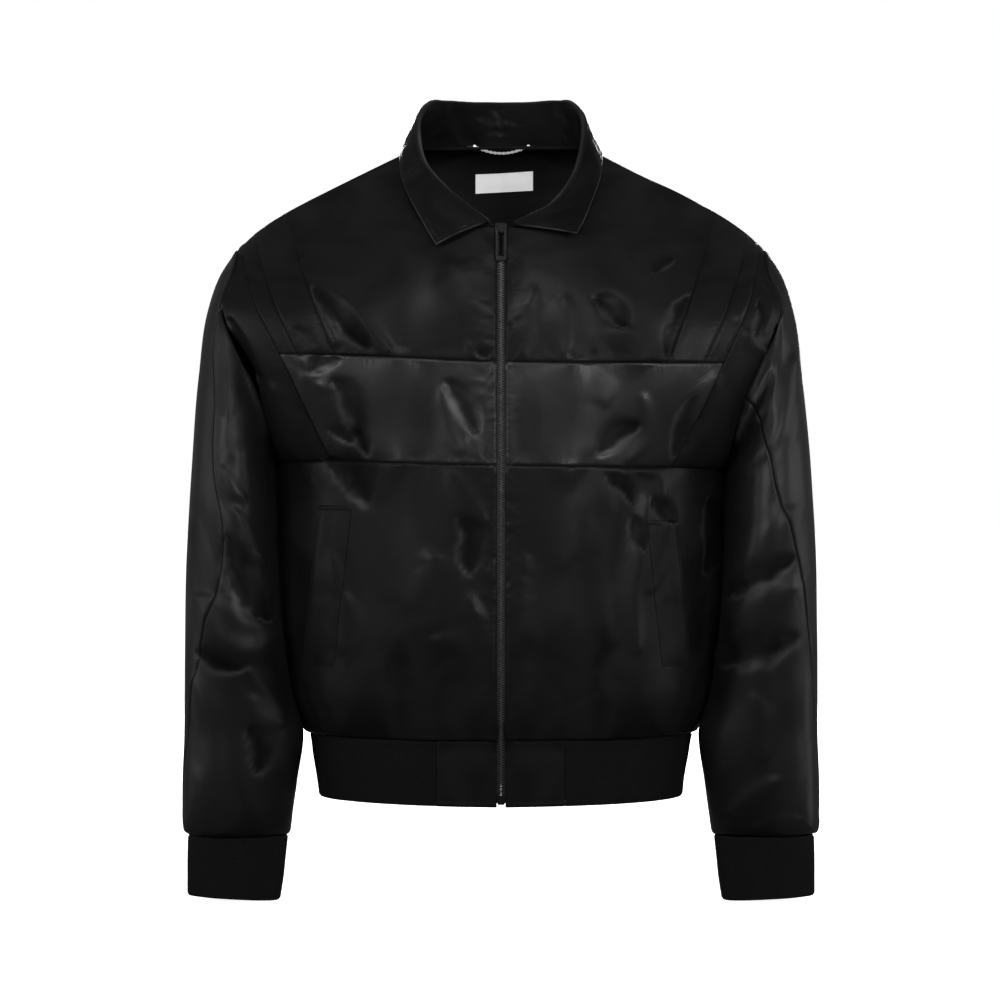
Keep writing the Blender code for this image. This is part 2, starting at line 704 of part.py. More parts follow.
def make_fronts(side, mark):
    half = SEAM_GAP / 2
    hole = armhole_levels()
    hole[0] = UNDERARM_Z + half
    seam_row = int(np.argmin(np.abs(hole - CHEST_SEAM_Z)))
    upper = hole[seam_row:].copy()
    upper[0] = CHEST_SEAM_Z + half
    band = hole[:seam_row + 1].copy()
    band[-1] = CHEST_SEAM_Z - half
    edge = ZIP_EDGE_X
    yoke_end = across_at(upper, YOKE_SEAM, shift=-half)
    panel(f"front_yoke_{mark}", side, upper, across_at(upper, edge), yoke_end, 9)
    strip_in = across_at(upper, YOKE_SEAM, shift=half)
    strip_out = across_at(upper, STRIP_SEAM, shift=-half)
    panel(f"strip_inner_{mark}", side, upper, strip_in, strip_out, 3)
    strip_in = across_at(upper, STRIP_SEAM, shift=half)
    strip_out = across_at(upper, SIDE_SEAM, shift=-half)
    panel(f"strip_outer_{mark}", side, upper, strip_in, strip_out, 3)
    panel(f"front_side_{mark}", side, hole, across_at(hole, SIDE_SEAM, shift=half),
          np.ones(len(hole)), 4)
    band_end = across_at(band, SIDE_SEAM, shift=-half)
    panel(f"chest_band_{mark}", side, band, across_at(band, edge), band_end, 11)
    cloth(f"front_lower_{mark}", [body_patch(side, False, *lower_grid(mark))], "satin")


def make_back():
    half = SEAM_GAP / 2
    lower = np.concatenate([[RIB_TOP_Z + half, -0.5665], np.linspace(-0.552, UNDERARM_Z, 10)])
    level = np.concatenate([lower[:-1], armhole_levels()])
    level, across = between(level, np.zeros(len(level)), np.ones(len(level)), BACK_COLUMNS)
    patches = [body_patch(side, True, level, across) for side in (1, -1)]
    cloth("back_panel", patches, "satin")


def seam_angle(mark, along):
    table = SLEEVE_SEAM_R if mark == "R" else SLEEVE_SEAM_L
    return read(table, along)[0]


def sleeve_patch(side, angle, along):
    points = sleeve_point(angle, along)
    inside = -sleeve_normal(angle, along)
    at_hole = along < 1e-6
    hole_inside, hole_over = armhole_seam(angle)
    flat = unit(inside * np.array([1.0, 1.0, 0.0]))
    inside = np.where(at_hole[..., None], hole_inside, inside)
    inside = np.where((along > 1 - 1e-6)[..., None], flat, inside)
    points = points + np.where(at_hole[..., None], hole_over * SEAM_GAP / 2, 0.0)
    outer = mirror(points, side)
    inside = mirror(inside, side)
    outer = outer - inside * fold_height(outer, -inside)[..., None]
    return outer, outer + inside * SATIN_WALL


def make_sleeve(side, mark):
    along = np.array(SLEEVE_RINGS)[:, None]
    steps = np.array(ARMHOLE_STEPS, float)
    start = -UNDER_SEAM_ANGLE
    end = 360 - UNDER_SEAM_ANGLE
    full = np.concatenate([-steps[1:][::-1], steps, 360 - steps[:-1][::-1]])
    top = seam_angle(mark, 0.0)
    here = seam_angle(mark, along)
    front = full[(full >= start - 1e-6) & (full <= top + 1e-6)]
    behind = full[(full >= top - 1e-6) & (full <= end + 1e-6)]
    front = np.unique(front)
    behind = np.unique(behind)
    radius = 0.045
    gap = math.degrees(SEAM_GAP / 2 / radius)
    share = (front - start) / (top - start)
    angle = start + gap + share * (here - start - 2 * gap)
    patch = sleeve_patch(side, np.radians(angle), np.broadcast_to(along, angle.shape))
    cloth(f"sleeve_front_{mark}", [patch], "satin")
    share = (behind - top) / (end - top)
    angle = here + gap + share * (end - here - 2 * gap)
    patch = sleeve_patch(side, np.radians(angle), np.broadcast_to(along, angle.shape))
    cloth(f"sleeve_back_{mark}", [patch], "satin")


def make_cuff(side, mark):
    z = np.linspace(CUFF[1][0], CUFF[-1][0], 4)[:, None]
    slant = CUFF_SLANT * (CUFF[-1][0] - z) / (CUFF[-1][0] - CUFF[1][0])
    angle = np.radians(np.linspace(0, 360, 25))[None, :]
    outer_x, inner_x, middle_y, half_depth = read(CUFF, z)
    middle_x = (outer_x + inner_x) / 2
    half_x = (outer_x - inner_x) / 2
    power = 0.86
    square_cos = np.sign(np.cos(angle)) * np.abs(np.cos(angle)) ** power
    square_sin = np.sign(np.sin(angle)) * np.abs(np.sin(angle)) ** power

    def ring(shrink):
        x = middle_x - (half_x - shrink) * square_cos
        y = middle_y - (half_depth - shrink) * square_sin
        return mirror(stack(x, y, z - slant * square_cos), side)

    cloth(f"cuff_{mark}", [(ring(0.0), ring(RIB_WALL))], "rib_knit")


def make_hem():
    half = SEAM_GAP / 2
    level = np.linspace(HEM_Z, RIB_TOP_Z - half, 4)
    tab = across_at(level, HEM_TAB_X)
    edge = across_at(level, ZIP_EDGE_X)
    gap = SEAM_GAP / (HEM_TAB_X * 2)
    patches = []
    for side, mark in ((1, "L"), (-1, "R")):
        grid = between(level, edge, tab - gap, 4)
        cloth(f"hem_tab_{mark}", [body_patch(side, False, *grid, RIB_WALL, False)], "satin")
        front = between(level, tab + gap, np.ones(len(level)), 10)
        behind = between(level, np.zeros(len(level)), np.ones(len(level)), 13)
        patches.append(body_patch(side, False, *front, RIB_WALL, False))
        patches.append(body_patch(side, True, *behind, RIB_WALL, False))
    cloth("hem_rib", patches, "rib_knit")


def make_welt(side, mark):
    # The panel's own points from one end of the welt to the other, moved out.
    ends = np.array((WELT_R if mark == "R" else WELT_L)[2:4], float)[:, 0]
    level, across = lower_grid(mark)
    rows = (level[:, 0] > ends[0] - 1e-6) & (level[:, 0] < ends[1] + 1e-6)
    level, across = level[rows, 5:8], across[rows, 5:8]
    patch = lifted(side, False, level, across, SEAM_GAP, SEAM_GAP + WELT_WALL)
    cloth(f"pocket_welt_{mark}", [patch], "satin")


def across_at_each(level, distances, back=False):
    # As across_at, with a distance of its own for every row.
    found = [across_at(level[row:row + 1], distances[row], back) for row in range(len(level))]
    return np.concatenate(found)


def nearest_body(points):
    # The nearest point of the body's outer face and the direction out of it there.
    level = np.linspace(-0.19, 0.0, 70)[:, None]
    across = np.linspace(0, 1, 90)[None, :]
    level, across = np.broadcast_arrays(level, across)
    found = []
    outs = []
    for back in (False, True):
        found.append(body_point(level, across, back).reshape(-1, 3))
        outs.append(body_normal(level, across, back).reshape(-1, 3))
    found = np.concatenate(found)
    outs = np.concatenate(outs)
    flat = points.reshape(-1, 3)
    best = [int(np.argmin(((found - point) ** 2).sum(axis=1))) for point in flat]
    return found[best].reshape(points.shape), outs[best].reshape(points.shape)


def collar_middle(turn, profile, mark):
    # The collar's middle layer. profile runs 0 to 1 up the stand, 1 to 2 over the fold and
    # 2 to 3 down the leaf.
    roll_x, roll_y, roll_z, edge_x, edge_y, edge_z = read(COLLAR, turn)
    slack = np.exp(-(((turn - 0.82) / 0.14) ** 2))
    roll_z = roll_z + (ROLL_SHIFT if mark == "R" else -ROLL_SHIFT) * slack
    shift = POINT_SHIFT_R if mark == "R" else POINT_SHIFT_L
    tip = ease((turn - 0.70) / 0.30)
    edge_x = edge_x - shift[0] * tip
    edge_z = edge_z + shift[1] * tip
    roll = stack(roll_x, roll_y, roll_z)
    edge = stack(edge_x, edge_y, edge_z)
    start = math.asin(COLLAR_START / NECK_HALF_WIDTH) / (math.pi / 2)
    behind = turn < 0.5
    neck_turn = np.where(behind, turn / 0.5, start + (1 - turn) / 0.5 * (1 - start))
    seam = np.where(behind[..., None], neckline(neck_turn, True), neckline(neck_turn, False))
    small = 1e-3
    late = stack(*read(COLLAR, np.minimum(turn + small, 1.0))[:3])
    early = stack(*read(COLLAR, np.maximum(turn - small, 0.0))[:3])
    run = unit(late - early)
    up = unit(np.array([0.0, 0.0, 1.0]) - run * run[..., 2:3])
    out = np.cross(run, up)
    out = out * np.sign(np.sum(out * roll * np.array([1, 1, 0]), axis=-1, keepdims=True))
    base = roll - up * COLLAR_FOLD
    foot = seam + up * 0.0012 - out * (COLLAR_WALL / 2)
    stand = foot + (base - foot) * np.clip(profile, 0, 1)[..., None]
    swing = np.clip(profile - 1, 0, 1)[..., None] * math.pi
    fold = base + out * COLLAR_FOLD * (1 - np.cos(swing)) + up * COLLAR_FOLD * np.sin(swing)
    drop = np.clip(profile - 2, 0, 1)[..., None]
    begin = base + out * COLLAR_FOLD * 2
    bulge = read(LEAF_BULGE, turn)[0][..., None]
    leaf = begin + (edge - begin) * drop + out * bulge * 4 * drop * (1 - drop)
    middle = np.where((profile <= 1)[..., None], stand, fold)
    return np.where((profile > 2)[..., None], leaf, middle)


def collar_grid(turn, profile, mark):
    # Pushes the leaf clear of the shoulders and chest, then offsets both faces.
    turn, profile = np.broadcast_arrays(turn, profile)
    middle = collar_middle(turn, profile, mark)
    near, out = nearest_body(middle)
    clear = COLLAR_WALL / 2 + 0.0009
    height = np.sum((middle - near) * out, axis=-1)
    push = np.where(profile > 2, np.maximum(clear - height, 0), 0)
    middle = middle + out * push[..., None]
    by_row = np.gradient(middle, axis=0)
    by_column = np.gradient(middle, axis=1)
    normal = unit(np.cross(by_row, by_column))
    leaf_out = middle[:, -2] * np.array([1.0, 1.0, 0.0])
    if np.sum(normal[:, -2] * leaf_out) < 0:
        normal = -normal
    return middle + normal * COLLAR_WALL / 2, middle - normal * COLLAR_WALL / 2


def make_collar():
    turn = np.concatenate([np.linspace(0, 0.5, 11), np.linspace(0.5, 1, 14)[1:]])[:, None]
    profile = np.array([0, 0.5, 1, 1.33, 1.67, 2, 2.2, 2.4, 2.6, 2.8, 3])[None, :]
    patches = []
    for side, mark in ((1, "L"), (-1, "R")):
        outer, inner = collar_grid(turn, profile, mark)
        for face in (outer, inner):
            face[0, :, 0] = 0.0
        patches.append((mirror(outer, side), mirror(inner, side)))
    cloth("collar", patches, "satin")


def back_spot(distance, z):
    # The row and the place along it of points of the back given from behind, by x and height.
    climb = (NECK_BACK_Z - UNDERARM_Z) / (NECK_BACK_LEVEL - UNDERARM_Z)
    level = UNDERARM_Z + (z - UNDERARM_Z) / climb
    for _ in range(8):
        across = across_at_each(level.ravel(), distance.ravel(), True).reshape(level.shape)
        level = level + (z - body_point(level, across, True)[..., 2]) / climb
    return level, across


def make_label():
    # A straight label, a little higher on the wearer's left.
    near = SATIN_WALL + 2 * SEAM_GAP
    share = np.linspace(0, 1, 4)[None, :]
    patches = []
    for side in (1, -1):
        tilt = side * LABEL_TILT / 2 * share
        z = np.linspace(LABEL_END_Z, LABEL_TOP_Z, 3)[:, None] + tilt
        reach = LABEL_HALF_WIDTH + side * LABEL_SHIFT
        grid = back_spot(np.broadcast_to(reach * share, z.shape), z)
        outer, inner = lifted(side, True, *grid, -near, -near - LABEL_WALL)
        patches.append((inner, outer))
    cloth("label", patches, "label_cloth")


def tube(name, path, radius, sides, finish):
    # A round bar along a path, with flat ends.
    run = unit(np.gradient(path, axis=0))
    side = unit(np.cross(run, np.array([0.0, 1.0, 0.0])))
    front = np.cross(side, run)
    angle = np.linspace(0, 2 * math.pi, sides, endpoint=False)
    ring = side[:, None] * np.cos(angle)[:, None] + front[:, None] * np.sin(angle)[:, None]
    points = (path[:, None] + ring * radius).reshape(-1, 3)
    faces = []
    for row in range(len(path) - 1):
        for one in range(sides):
            two = (one + 1) % sides
            low = row * sides
            faces.append([low + one, low + sides + one, low + sides + two, low + two])
    faces.append(list(range(sides)))
    faces.append([len(points) - 1 - one for one in range(sides)])
    return place(name, points, faces, finish)


def make_hanger():
    # A small satin loop under the neck seam on either side, and the chain between them.
    wide, deep, high = HANGER_TAB
    for side, mark in ((1, "L"), (-1, "R")):
        ends = sorted((HANGER_SHIFT + side * HANGER_X, HANGER_SHIFT + side * (HANGER_X + wide)))
        top = HANGER_Z + HANGER_RADIUS
        low = (ends[0], HANGER_Y - deep / 2, top - high)
        block(f"hanger_tab_{mark}", low, (ends[1], HANGER_Y + deep / 2, top), 0.0006, "satin")
    share = np.linspace(0, 1, 15)[:, None]
    reach = HANGER_X - SEAM_GAP - 0.6 * HANGER_RADIUS
    path = stack(HANGER_SHIFT + (2 * share[:, 0] - 1) * reach, HANGER_Y, HANGER_Z)
    path = path - np.array([0.0, 0.0, 1.0]) * HANGER_SAG * 4 * share * (1 - share)
    tube("hanger_chain", path, HANGER_RADIUS, 8, "chain_metal")


def middle_y(z):
    return -read(BODY, z)[1]


def strip(name, z, left, right, front, depth, finish):
    # A bar down the middle line from one distance to another, set in from the body's face.
    z = z[:, None]
    x = np.array([left, right])[None, :]
    face = stack(x, middle_y(z) + front, z)
    cloth(name, [(face, face + np.array([0.0, depth, 0.0]))], finish)


def block(name, low, high, bevel, finish="zip_metal"):
    # A box between two corners with rounded edges.
    low, high = np.array(low), np.array(high)
    corners = np.array([[x, y, z] for x in (0, 1) for y in (0, 1) for z in (0, 1)])
    faces = [[0, 1, 3, 2], [4, 6, 7, 5], [0, 4, 5, 1], [2, 3, 7, 6], [0, 2, 6, 4], [1, 5, 7, 3]]
    made = place(name, low + corners * (high - low), faces, finish)
    if bevel:
        rounding = made.modifiers.new("round", "BEVEL")
        rounding.width = bevel
        rounding.segments = 2
    return made


def rounded(half_width, top, bottom, radius, steps=4):
    # Points round a rectangle with round corners, as x and z.
    points = []
    corners = (
        (half_width - radius, top - radius, 0),
        (-half_width + radius, top - radius, 90),
        (-half_width + radius, bottom + radius, 180),
        (half_width - radius, bottom + radius, 270),
    )
    for x, z, turn in corners:
        for step in range(steps + 1):
            angle = math.radians(turn + 90 * step / steps)
            points.append((x + radius * math.cos(angle), z + radius * math.sin(angle)))
    points.append(points[0])
    return np.array(points)


def ring_plate(name, outer, inner, y, thick, finish):
    # A flat plate between two outlines with the same number of points.
    outlines = np.stack([inner, outer], axis=1)
    face = stack(outlines[..., 0], y, outlines[..., 1])
    return cloth(name, [(face, face + np.array([0.0, thick, 0.0]))], finish)


def make_tape(side, mark):
    # The tape lies against the inside of the front edges and follows their rows.
    half = SEAM_GAP / 2
    hem = np.linspace(HEM_Z, RIB_TOP_Z - half, 4)[1:]
    hole = armhole_levels()
    chest = hole[(hole > UNDERARM_Z + half) & (hole < NECK_FRONT_Z - 0.004)]
    level = np.concatenate([[TAPE_END_Z], hem, lower_levels(mark), chest, [NECK_FRONT_Z - 0.006]])
    wall = np.where(level < -0.560, RIB_WALL, SATIN_WALL)
    start = CHAIN_HALF_WIDTH + SEAM_GAP
    first = across_at(level, start)
    last = across_at(level, start + TAPE_WIDTH)
    level, across = between(level, first, last, 2)
    near = (wall[:, None] + SEAM_GAP + np.array([0.0, TAPE_SLANT]))[..., None]
    outer, inner = lifted(side, False, level, across, -near, -near - TAPE_WALL)
    cloth(f"zip_tape_{mark}", [(inner, outer)], "zip_tape")


def make_zip():
    long = np.linspace(CHAIN_END_Z, CHAIN_TOP_Z, 24)
    strip("zip_chain", long, -CHAIN_HALF_WIDTH, CHAIN_HALF_WIDTH, CHAIN_SUNK, CHAIN_DEPTH, "zip_metal")
    for side, mark in ((1, "L"), (-1, "R")):
        make_tape(side, mark)
    stop_top = CHAIN_END_Z - SEAM_GAP
    face = float(middle_y(stop_top))
    block("zip_stop", (-0.0035, face - 0.0004, HEM_Z + 0.0006), (0.0035, face + 0.0029, stop_top), 0.0006)
    make_slider()


def make_slider():
    bottom = SLIDER_TOP_Z - SLIDER_HEIGHT
    face = float(middle_y(SLIDER_TOP_Z - SLIDER_HEIGHT / 2)) - 0.0010
    plate = (face - SLIDER_PLATE, face)
    slider = block("zip_slider", (-SLIDER_HALF_WIDTH, plate[0], bottom),
                   (SLIDER_HALF_WIDTH, plate[1], SLIDER_TOP_Z), 0.0008)
    neck = block("slider_neck", (-0.0034, plate[1] - 0.0006, CHAIN_TOP_Z + 0.0012),
                 (0.0034, plate[1] + 0.0042, SLIDER_TOP_Z - 0.0008), 0)
    hinge_z = SLIDER_TOP_Z - EYE_DROP
    hinge_y = plate[0] - EYE_SIZE / 2
    outer_half = EYE_SIZE / 2 + BRIDGE_WALL
    corners = []
    for half in (EYE_SIZE / 2, outer_half):
        outline = [(half, half), (-half, half), (-half, -half), (half, -half), (half, half)]
        corners.append(np.array(outline))
    profile = np.stack(corners, axis=1)
    grid = stack(-BRIDGE_HALF_WIDTH, hinge_y + profile[..., 0], hinge_z + profile[..., 1])
    over = np.array([BRIDGE_HALF_WIDTH * 2, 0.0, 0.0])
    bridge = cloth("slider_bridge", [(grid, grid + over)], "zip_metal")
    for helper in (neck, bridge):
        helper.hide_render = True
        helper.display_type = "WIRE"
        joint = slider.modifiers.new(helper.name, "BOOLEAN")
        joint.operation = "UNION"
        joint.object = helper
    make_pull(hinge_y, hinge_z)


def make_pull(hinge_y, hinge_z):
    # The pull hangs from its top bar, which turns in the slider's eye.
    bar = PULL_THICK / 2
    outer = rounded(PULL_HALF_WIDTH, bar, bar - PULL_LENGTH, 0.0016)
    inner = rounded(PULL_HALF_WIDTH - PULL_RAIL, -bar, bar - PULL_LENGTH + PULL_FOOT, 0.0008)
    pull = ring_plate("zip_pull", outer, inner, -bar, PULL_THICK, "zip_metal")
    pull.location = (0.0, hinge_y, hinge_z)
    pull.rotation_euler = (math.radians(-PULL_LEAN), 0.0, 0.0)


def main():
    for thing in list(bpy.data.objects):
        bpy.data.objects.remove(thing, do_unlink=True)
    make_materials()
    for side, mark in ((-1, "R"), (1, "L")):
        make_fronts(side, mark)
        make_sleeve(side, mark)
        make_cuff(side, mark)
        make_welt(side, mark)
    make_back()
    make_hem()
    make_collar()
    make_label()
    make_hanger()
    make_zip()


main()
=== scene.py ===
# A black satin zip jacket with rib hem and cuffs, filled out as if worn, with nobody in it.
# Metres. +X is the wearer's left, the front faces -Y, +Z is up.
import json
import math

import bpy
import numpy as np
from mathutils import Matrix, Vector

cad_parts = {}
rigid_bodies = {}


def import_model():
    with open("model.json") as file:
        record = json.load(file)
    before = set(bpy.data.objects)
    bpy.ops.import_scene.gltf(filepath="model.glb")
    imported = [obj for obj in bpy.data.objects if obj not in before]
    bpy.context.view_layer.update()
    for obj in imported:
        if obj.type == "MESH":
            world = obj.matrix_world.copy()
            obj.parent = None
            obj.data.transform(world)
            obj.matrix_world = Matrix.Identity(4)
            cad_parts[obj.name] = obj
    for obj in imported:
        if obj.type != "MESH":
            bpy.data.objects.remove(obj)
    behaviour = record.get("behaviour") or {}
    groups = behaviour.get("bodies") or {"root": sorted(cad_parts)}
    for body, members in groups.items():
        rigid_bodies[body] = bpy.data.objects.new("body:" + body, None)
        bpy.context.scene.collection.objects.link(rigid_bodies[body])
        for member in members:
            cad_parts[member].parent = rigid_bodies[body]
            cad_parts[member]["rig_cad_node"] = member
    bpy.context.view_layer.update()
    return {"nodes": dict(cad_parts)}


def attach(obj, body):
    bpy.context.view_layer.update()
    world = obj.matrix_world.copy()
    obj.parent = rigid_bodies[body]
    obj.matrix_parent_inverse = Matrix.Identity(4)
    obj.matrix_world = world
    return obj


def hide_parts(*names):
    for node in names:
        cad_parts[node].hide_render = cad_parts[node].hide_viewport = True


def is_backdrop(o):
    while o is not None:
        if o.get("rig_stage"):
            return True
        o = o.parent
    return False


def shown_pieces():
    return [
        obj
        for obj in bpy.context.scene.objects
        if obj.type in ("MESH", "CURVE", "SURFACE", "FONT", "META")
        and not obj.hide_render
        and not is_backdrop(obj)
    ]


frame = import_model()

cloth = {
    "satinWall": 0.0020,
    "ribWall": 0.0030,
    "collarWall": 0.0022,
    "cell": 0.0028,  # size of the mesh's squares
    "rowCell": 0.0023,
    "wave": 1.0,  # how strongly the satin ripples
    "fold": 0.62,  # how deep the listed folds are
    "pucker": 1.0,  # how much the seams gather the cloth
}

# ---- the jacket's form ----

hemZ = -0.638
ribTopZ = -0.576
underarmZ = -0.311
chestSeamZ = -0.212
neckFrontZ = -0.083
neckSideZ = 0.009
neckBackZ = 0.0215
shoulderTipZ = -0.094
neckHalfWidth = 0.083
neckSideY = -0.002
neckBackLevel = -0.083
underarmX = 0.2225
shoulderTipX = 0.263
armholeFront = 0.078
armholeBack = 0.082
bulgeTurn = 111.0
bulgeRise = 0.022
zipEdgeX = 0.0042
hemTabX = 0.0620
hemDip = 0.0024
seamGap = 0.00015  # half the slit between two sewn pieces
sides = ((-1, "R"), (1, "L"))


def tenths(*rows, kept=0):
    # lengths given in tenths of a millimetre; the first columns can be kept as they are
    return [row[:kept] + tuple(value / 10000 for value in row[kept:]) for row in rows]


# height, half width, depth in front, depth behind
bodyTable = tenths(
    (-6380, 1815, 1060, 985), (-6240, 1830, 1068, 990), (-5970, 1872, 1085, 1005),
    (-5780, 1905, 1100, 1020), (-5740, 1918, 1120, 1035), (-5620, 1975, 1185, 1095),
    (-5450, 2045, 1235, 1140), (-5150, 2110, 1270, 1170), (-4800, 2158, 1285, 1190),
    (-4000, 2216, 1295, 1225), (-3440, 2225, 1300, 1250), (-3110, 2225, 1302, 1262),
    (-2500, 2225, 1300, 1275), (-2130, 2225, 1285, 1275), (-1500, 2225, 1240, 1250),
    (-1100, 2225, 1195, 1215), (-830, 2225, 1175, 1180), (-400, 2225, 1150, 1080),
    (215, 2225, 1150, 860),
)

# row's level, its place on the armhole in degrees, two handle lengths, angle at the side
rowTable = (
    (-0.638, 0.0, 0.60, 0.60, 90.0),
    (-0.311, 0.0, 0.60, 0.60, 90.0),
    (-0.298, 24.0, 0.58, 0.54, 86.0),
    (-0.275, 46.0, 0.53, 0.49, 77.0),
    (-0.245, 67.0, 0.48, 0.45, 64.0),
    (-0.212, 86.0, 0.45, 0.41, 52.0),
    (-0.180, 102.0, 0.43, 0.38, 44.0),
    (-0.150, 117.0, 0.41, 0.36, 37.0),
    (-0.115, 134.0, 0.39, 0.35, 29.0),
    (-0.083, 148.0, 0.37, 0.34, 22.0),
    (-0.040, 165.0, 0.35, 0.34, 11.0),
    (0.000, 180.0, 0.33, 0.33, 0.0),
)

# share of the sleeve's length, outer and inner height, outer and inner x, middle y, two depths
sleeveTable = tenths(
    (0.0, -940, -3110, 2630, 2225, 0, 780, 820), (0.05, -1200, -3200, 2790, 2250, -30, 810, 830),
    (0.115, -1590, -3350, 2910, 2245, -90, 820, 810), (0.22, -2260, -3680, 2990, 2220, -200, 790, 770),
    (0.35, -3100, -4150, 3055, 2193, -300, 730, 710), (0.48, -3990, -4550, 3100, 2165, -350, 660, 650),
    (0.61, -4750, -4900, 3118, 2130, -360, 600, 590), (0.71, -5350, -5350, 3125, 2060, -360, 560, 550),
    (0.78, -5770, -5750, 3130, 1950, -350, 540, 530), (0.86, -6220, -6200, 3145, 2010, -350, 500, 490),
    (0.93, -6550, -6530, 3145, 2055, -350, 440, 430), (0.975, -6690, -6690, 3130, 2078, -350, 360, 350),
    (1.0, -6738, -6738, 3100, 2095, -350, 280, 280),
    kept=1,
)
underSeamAngle = 60.0
sleeveGap = 0.17  # degrees
sleeveSeam = {
    "R": ((0.00, 113.0), (0.06, 124.0), (0.13, 128.5), (0.20, 120.0), (0.31, 113.0), (0.39, 97.0),
          (0.46, 99.0), (0.52, 106.0), (0.58, 118.0), (0.65, 132.0), (0.80, 157.0), (1.00, 176.0)),
    "L": ((0.00, 69.0), (0.11, 77.0), (0.22, 88.0), (0.31, 96.0), (0.40, 110.0), (0.48, 123.0),
          (0.56, 135.0), (0.75, 159.0), (1.00, 176.0)),
}

# height, outer and inner x, middle y, half depth
cuffTable = tenths(
    (-7352, 3090, 2180, -370, 235), (-7050, 3092, 2135, -360, 250), (-6741, 3088, 2103, -350, 272),
)
cuffSlant = 0.0024

# seams of the front: height, distance from the middle
yokeSeam = ((-0.212, 0.1595), (-0.113, 0.1954), (-0.060, 0.2140))
stripSeam = ((-0.212, 0.1950), (-0.150, 0.2215), (-0.088, 0.2430))
sideSeam = ((-0.311, 0.1655), (-0.212, 0.2135), (-0.140, 0.2450), (-0.094, 0.2560))
weltLines = {
    "R": ((-0.576, 0.1830, 0.1580), (-0.520, 0.1965, 0.1630), (-0.351, 0.1765, 0.1440),
          (-0.311, 0.1740, 0.1410)),
    "L": ((-0.576, 0.1790, 0.1560), (-0.532, 0.1900, 0.1590), (-0.363, 0.1720, 0.1400),
          (-0.311, 0.1700, 0.1360)),
}

# turn round the neck, roll line, leaf's edge
collarTable = tenths(
    (0.0, 0, 930, 660, 0, 1035, 65), (0.15, 290, 905, 662, 380, 985, 70),
    (0.3, 550, 790, 660, 720, 820, 80), (0.4, 695, 550, 620, 905, 540, 75),
    (0.46, 768, 340, 515, 975, 310, 60), (0.52, 808, 70, 350, 1000, 60, 35),
    (0.6, 782, -290, 75, 998, -320, -110), (0.68, 720, -560, -155, 965, -600, -300),
    (0.76, 615, -790, -345, 905, -830, -470), (0.84, 465, -965, -520, 835, -990, -630),
    (0.92, 280, -1095, -660, 760, -1120, -790), (1.0, 110, -1175, -775, 675, -1220, -948),
    kept=1,
)
leafBulge = ((0.0, 0.004), (0.3, 0.003), (0.5, 0.001), (0.7, 0.004), (1.0, 0.0055))
pointShift = {"R": (0.0055, -0.0055), "L": (-0.0050, 0.0055)}
rollShift = {"R": 0.0060, "L": -0.0060}
swayTable = ((-0.32, 0.0060), (-0.22, 0.0080), (0.0, 0.0), (0.22, -0.0025), (0.32, -0.0025))


def smooth(at, knots, values):
    # cubic curve through the knots, level at each local high or low point
    step = np.diff(knots)
    rise = np.diff(values) / step
    slope = np.concatenate([rise[:1], rise[:-1], rise[-1:]])
    slope[1:-1] = (rise[:-1] * step[1:] + rise[1:] * step[:-1]) / (step[1:] + step[:-1])
    slope[1:-1][rise[:-1] * rise[1:] <= 0] = 0
    at = np.asarray(at, float)
    slot = np.clip(np.searchsorted(knots, at, side="right") - 1, 0, len(step) - 1)
    width = step[slot]
    part = np.clip((at - knots[slot]) / width, 0, 1)
    first, last = values[slot], values[slot + 1]
    leave, arrive = slope[slot] * width, slope[slot + 1] * width
    curl = 2 * (first - last) + leave + arrive
    bend = 3 * (last - first) - 2 * leave - arrive
    return first + part * (leave + part * (bend + part * curl))


def read(table, at):
    # every column after the first, at values of the first
    rows = np.array(table, float)
    rows = rows[np.argsort(rows[:, 0])]
    return [smooth(at, rows[:, 0], rows[:, number]) for number in range(1, rows.shape[1])]


def unit(vectors):
    return vectors / np.maximum(np.linalg.norm(vectors, axis=-1, keepdims=True), 1e-12)


def stack(x, y, z):
    return np.stack(np.broadcast_arrays(x, y, z), axis=-1).astype(float)


def mirror(points, side):
    return points * np.array([side, 1.0, 1.0])


def ease(part):
    part = np.clip(part, 0, 1)
    return part * part * (3 - 2 * part)


def bell(far, width=1.0, power=2):
    return np.exp(-((far / width) ** power))


def armholeBulge(angle):
    # a bump outward, high on the armhole; less steep below its top
    turn = np.degrees(angle) % 360
    turn = np.where(turn > 180, 360 - turn, turn)
    spread = np.where(turn > bulgeTurn, 22.0, 29.0)
    return bulgeRise * bell(turn - bulgeTurn, spread)


def armhole(angle):
    # 0 at the underarm, a quarter turn in front, half at the shoulder
    rise = (1 - np.cos(angle)) / 2
    depth = np.where(np.sin(angle) > 0, armholeFront, armholeBack)
    return stack(
        underarmX + (shoulderTipX - underarmX) * rise + armholeBulge(angle),
        -depth * np.sin(angle),
        underarmZ + (shoulderTipZ - underarmZ) * rise,
    )


def neckline(turn, back):
    # a quarter ellipse from the middle, 0, to the side of the neck, 1
    angle = turn * math.pi / 2
    endZ = neckBackZ if back else neckFrontZ
    depths = read(bodyTable, endZ)
    endY = float(depths[2]) if back else -float(depths[1])
    return stack(
        neckHalfWidth * np.sin(angle),
        neckSideY + (endY - neckSideY) * np.cos(angle),
        neckSideZ + (endZ - neckSideZ) * np.cos(angle),
    )


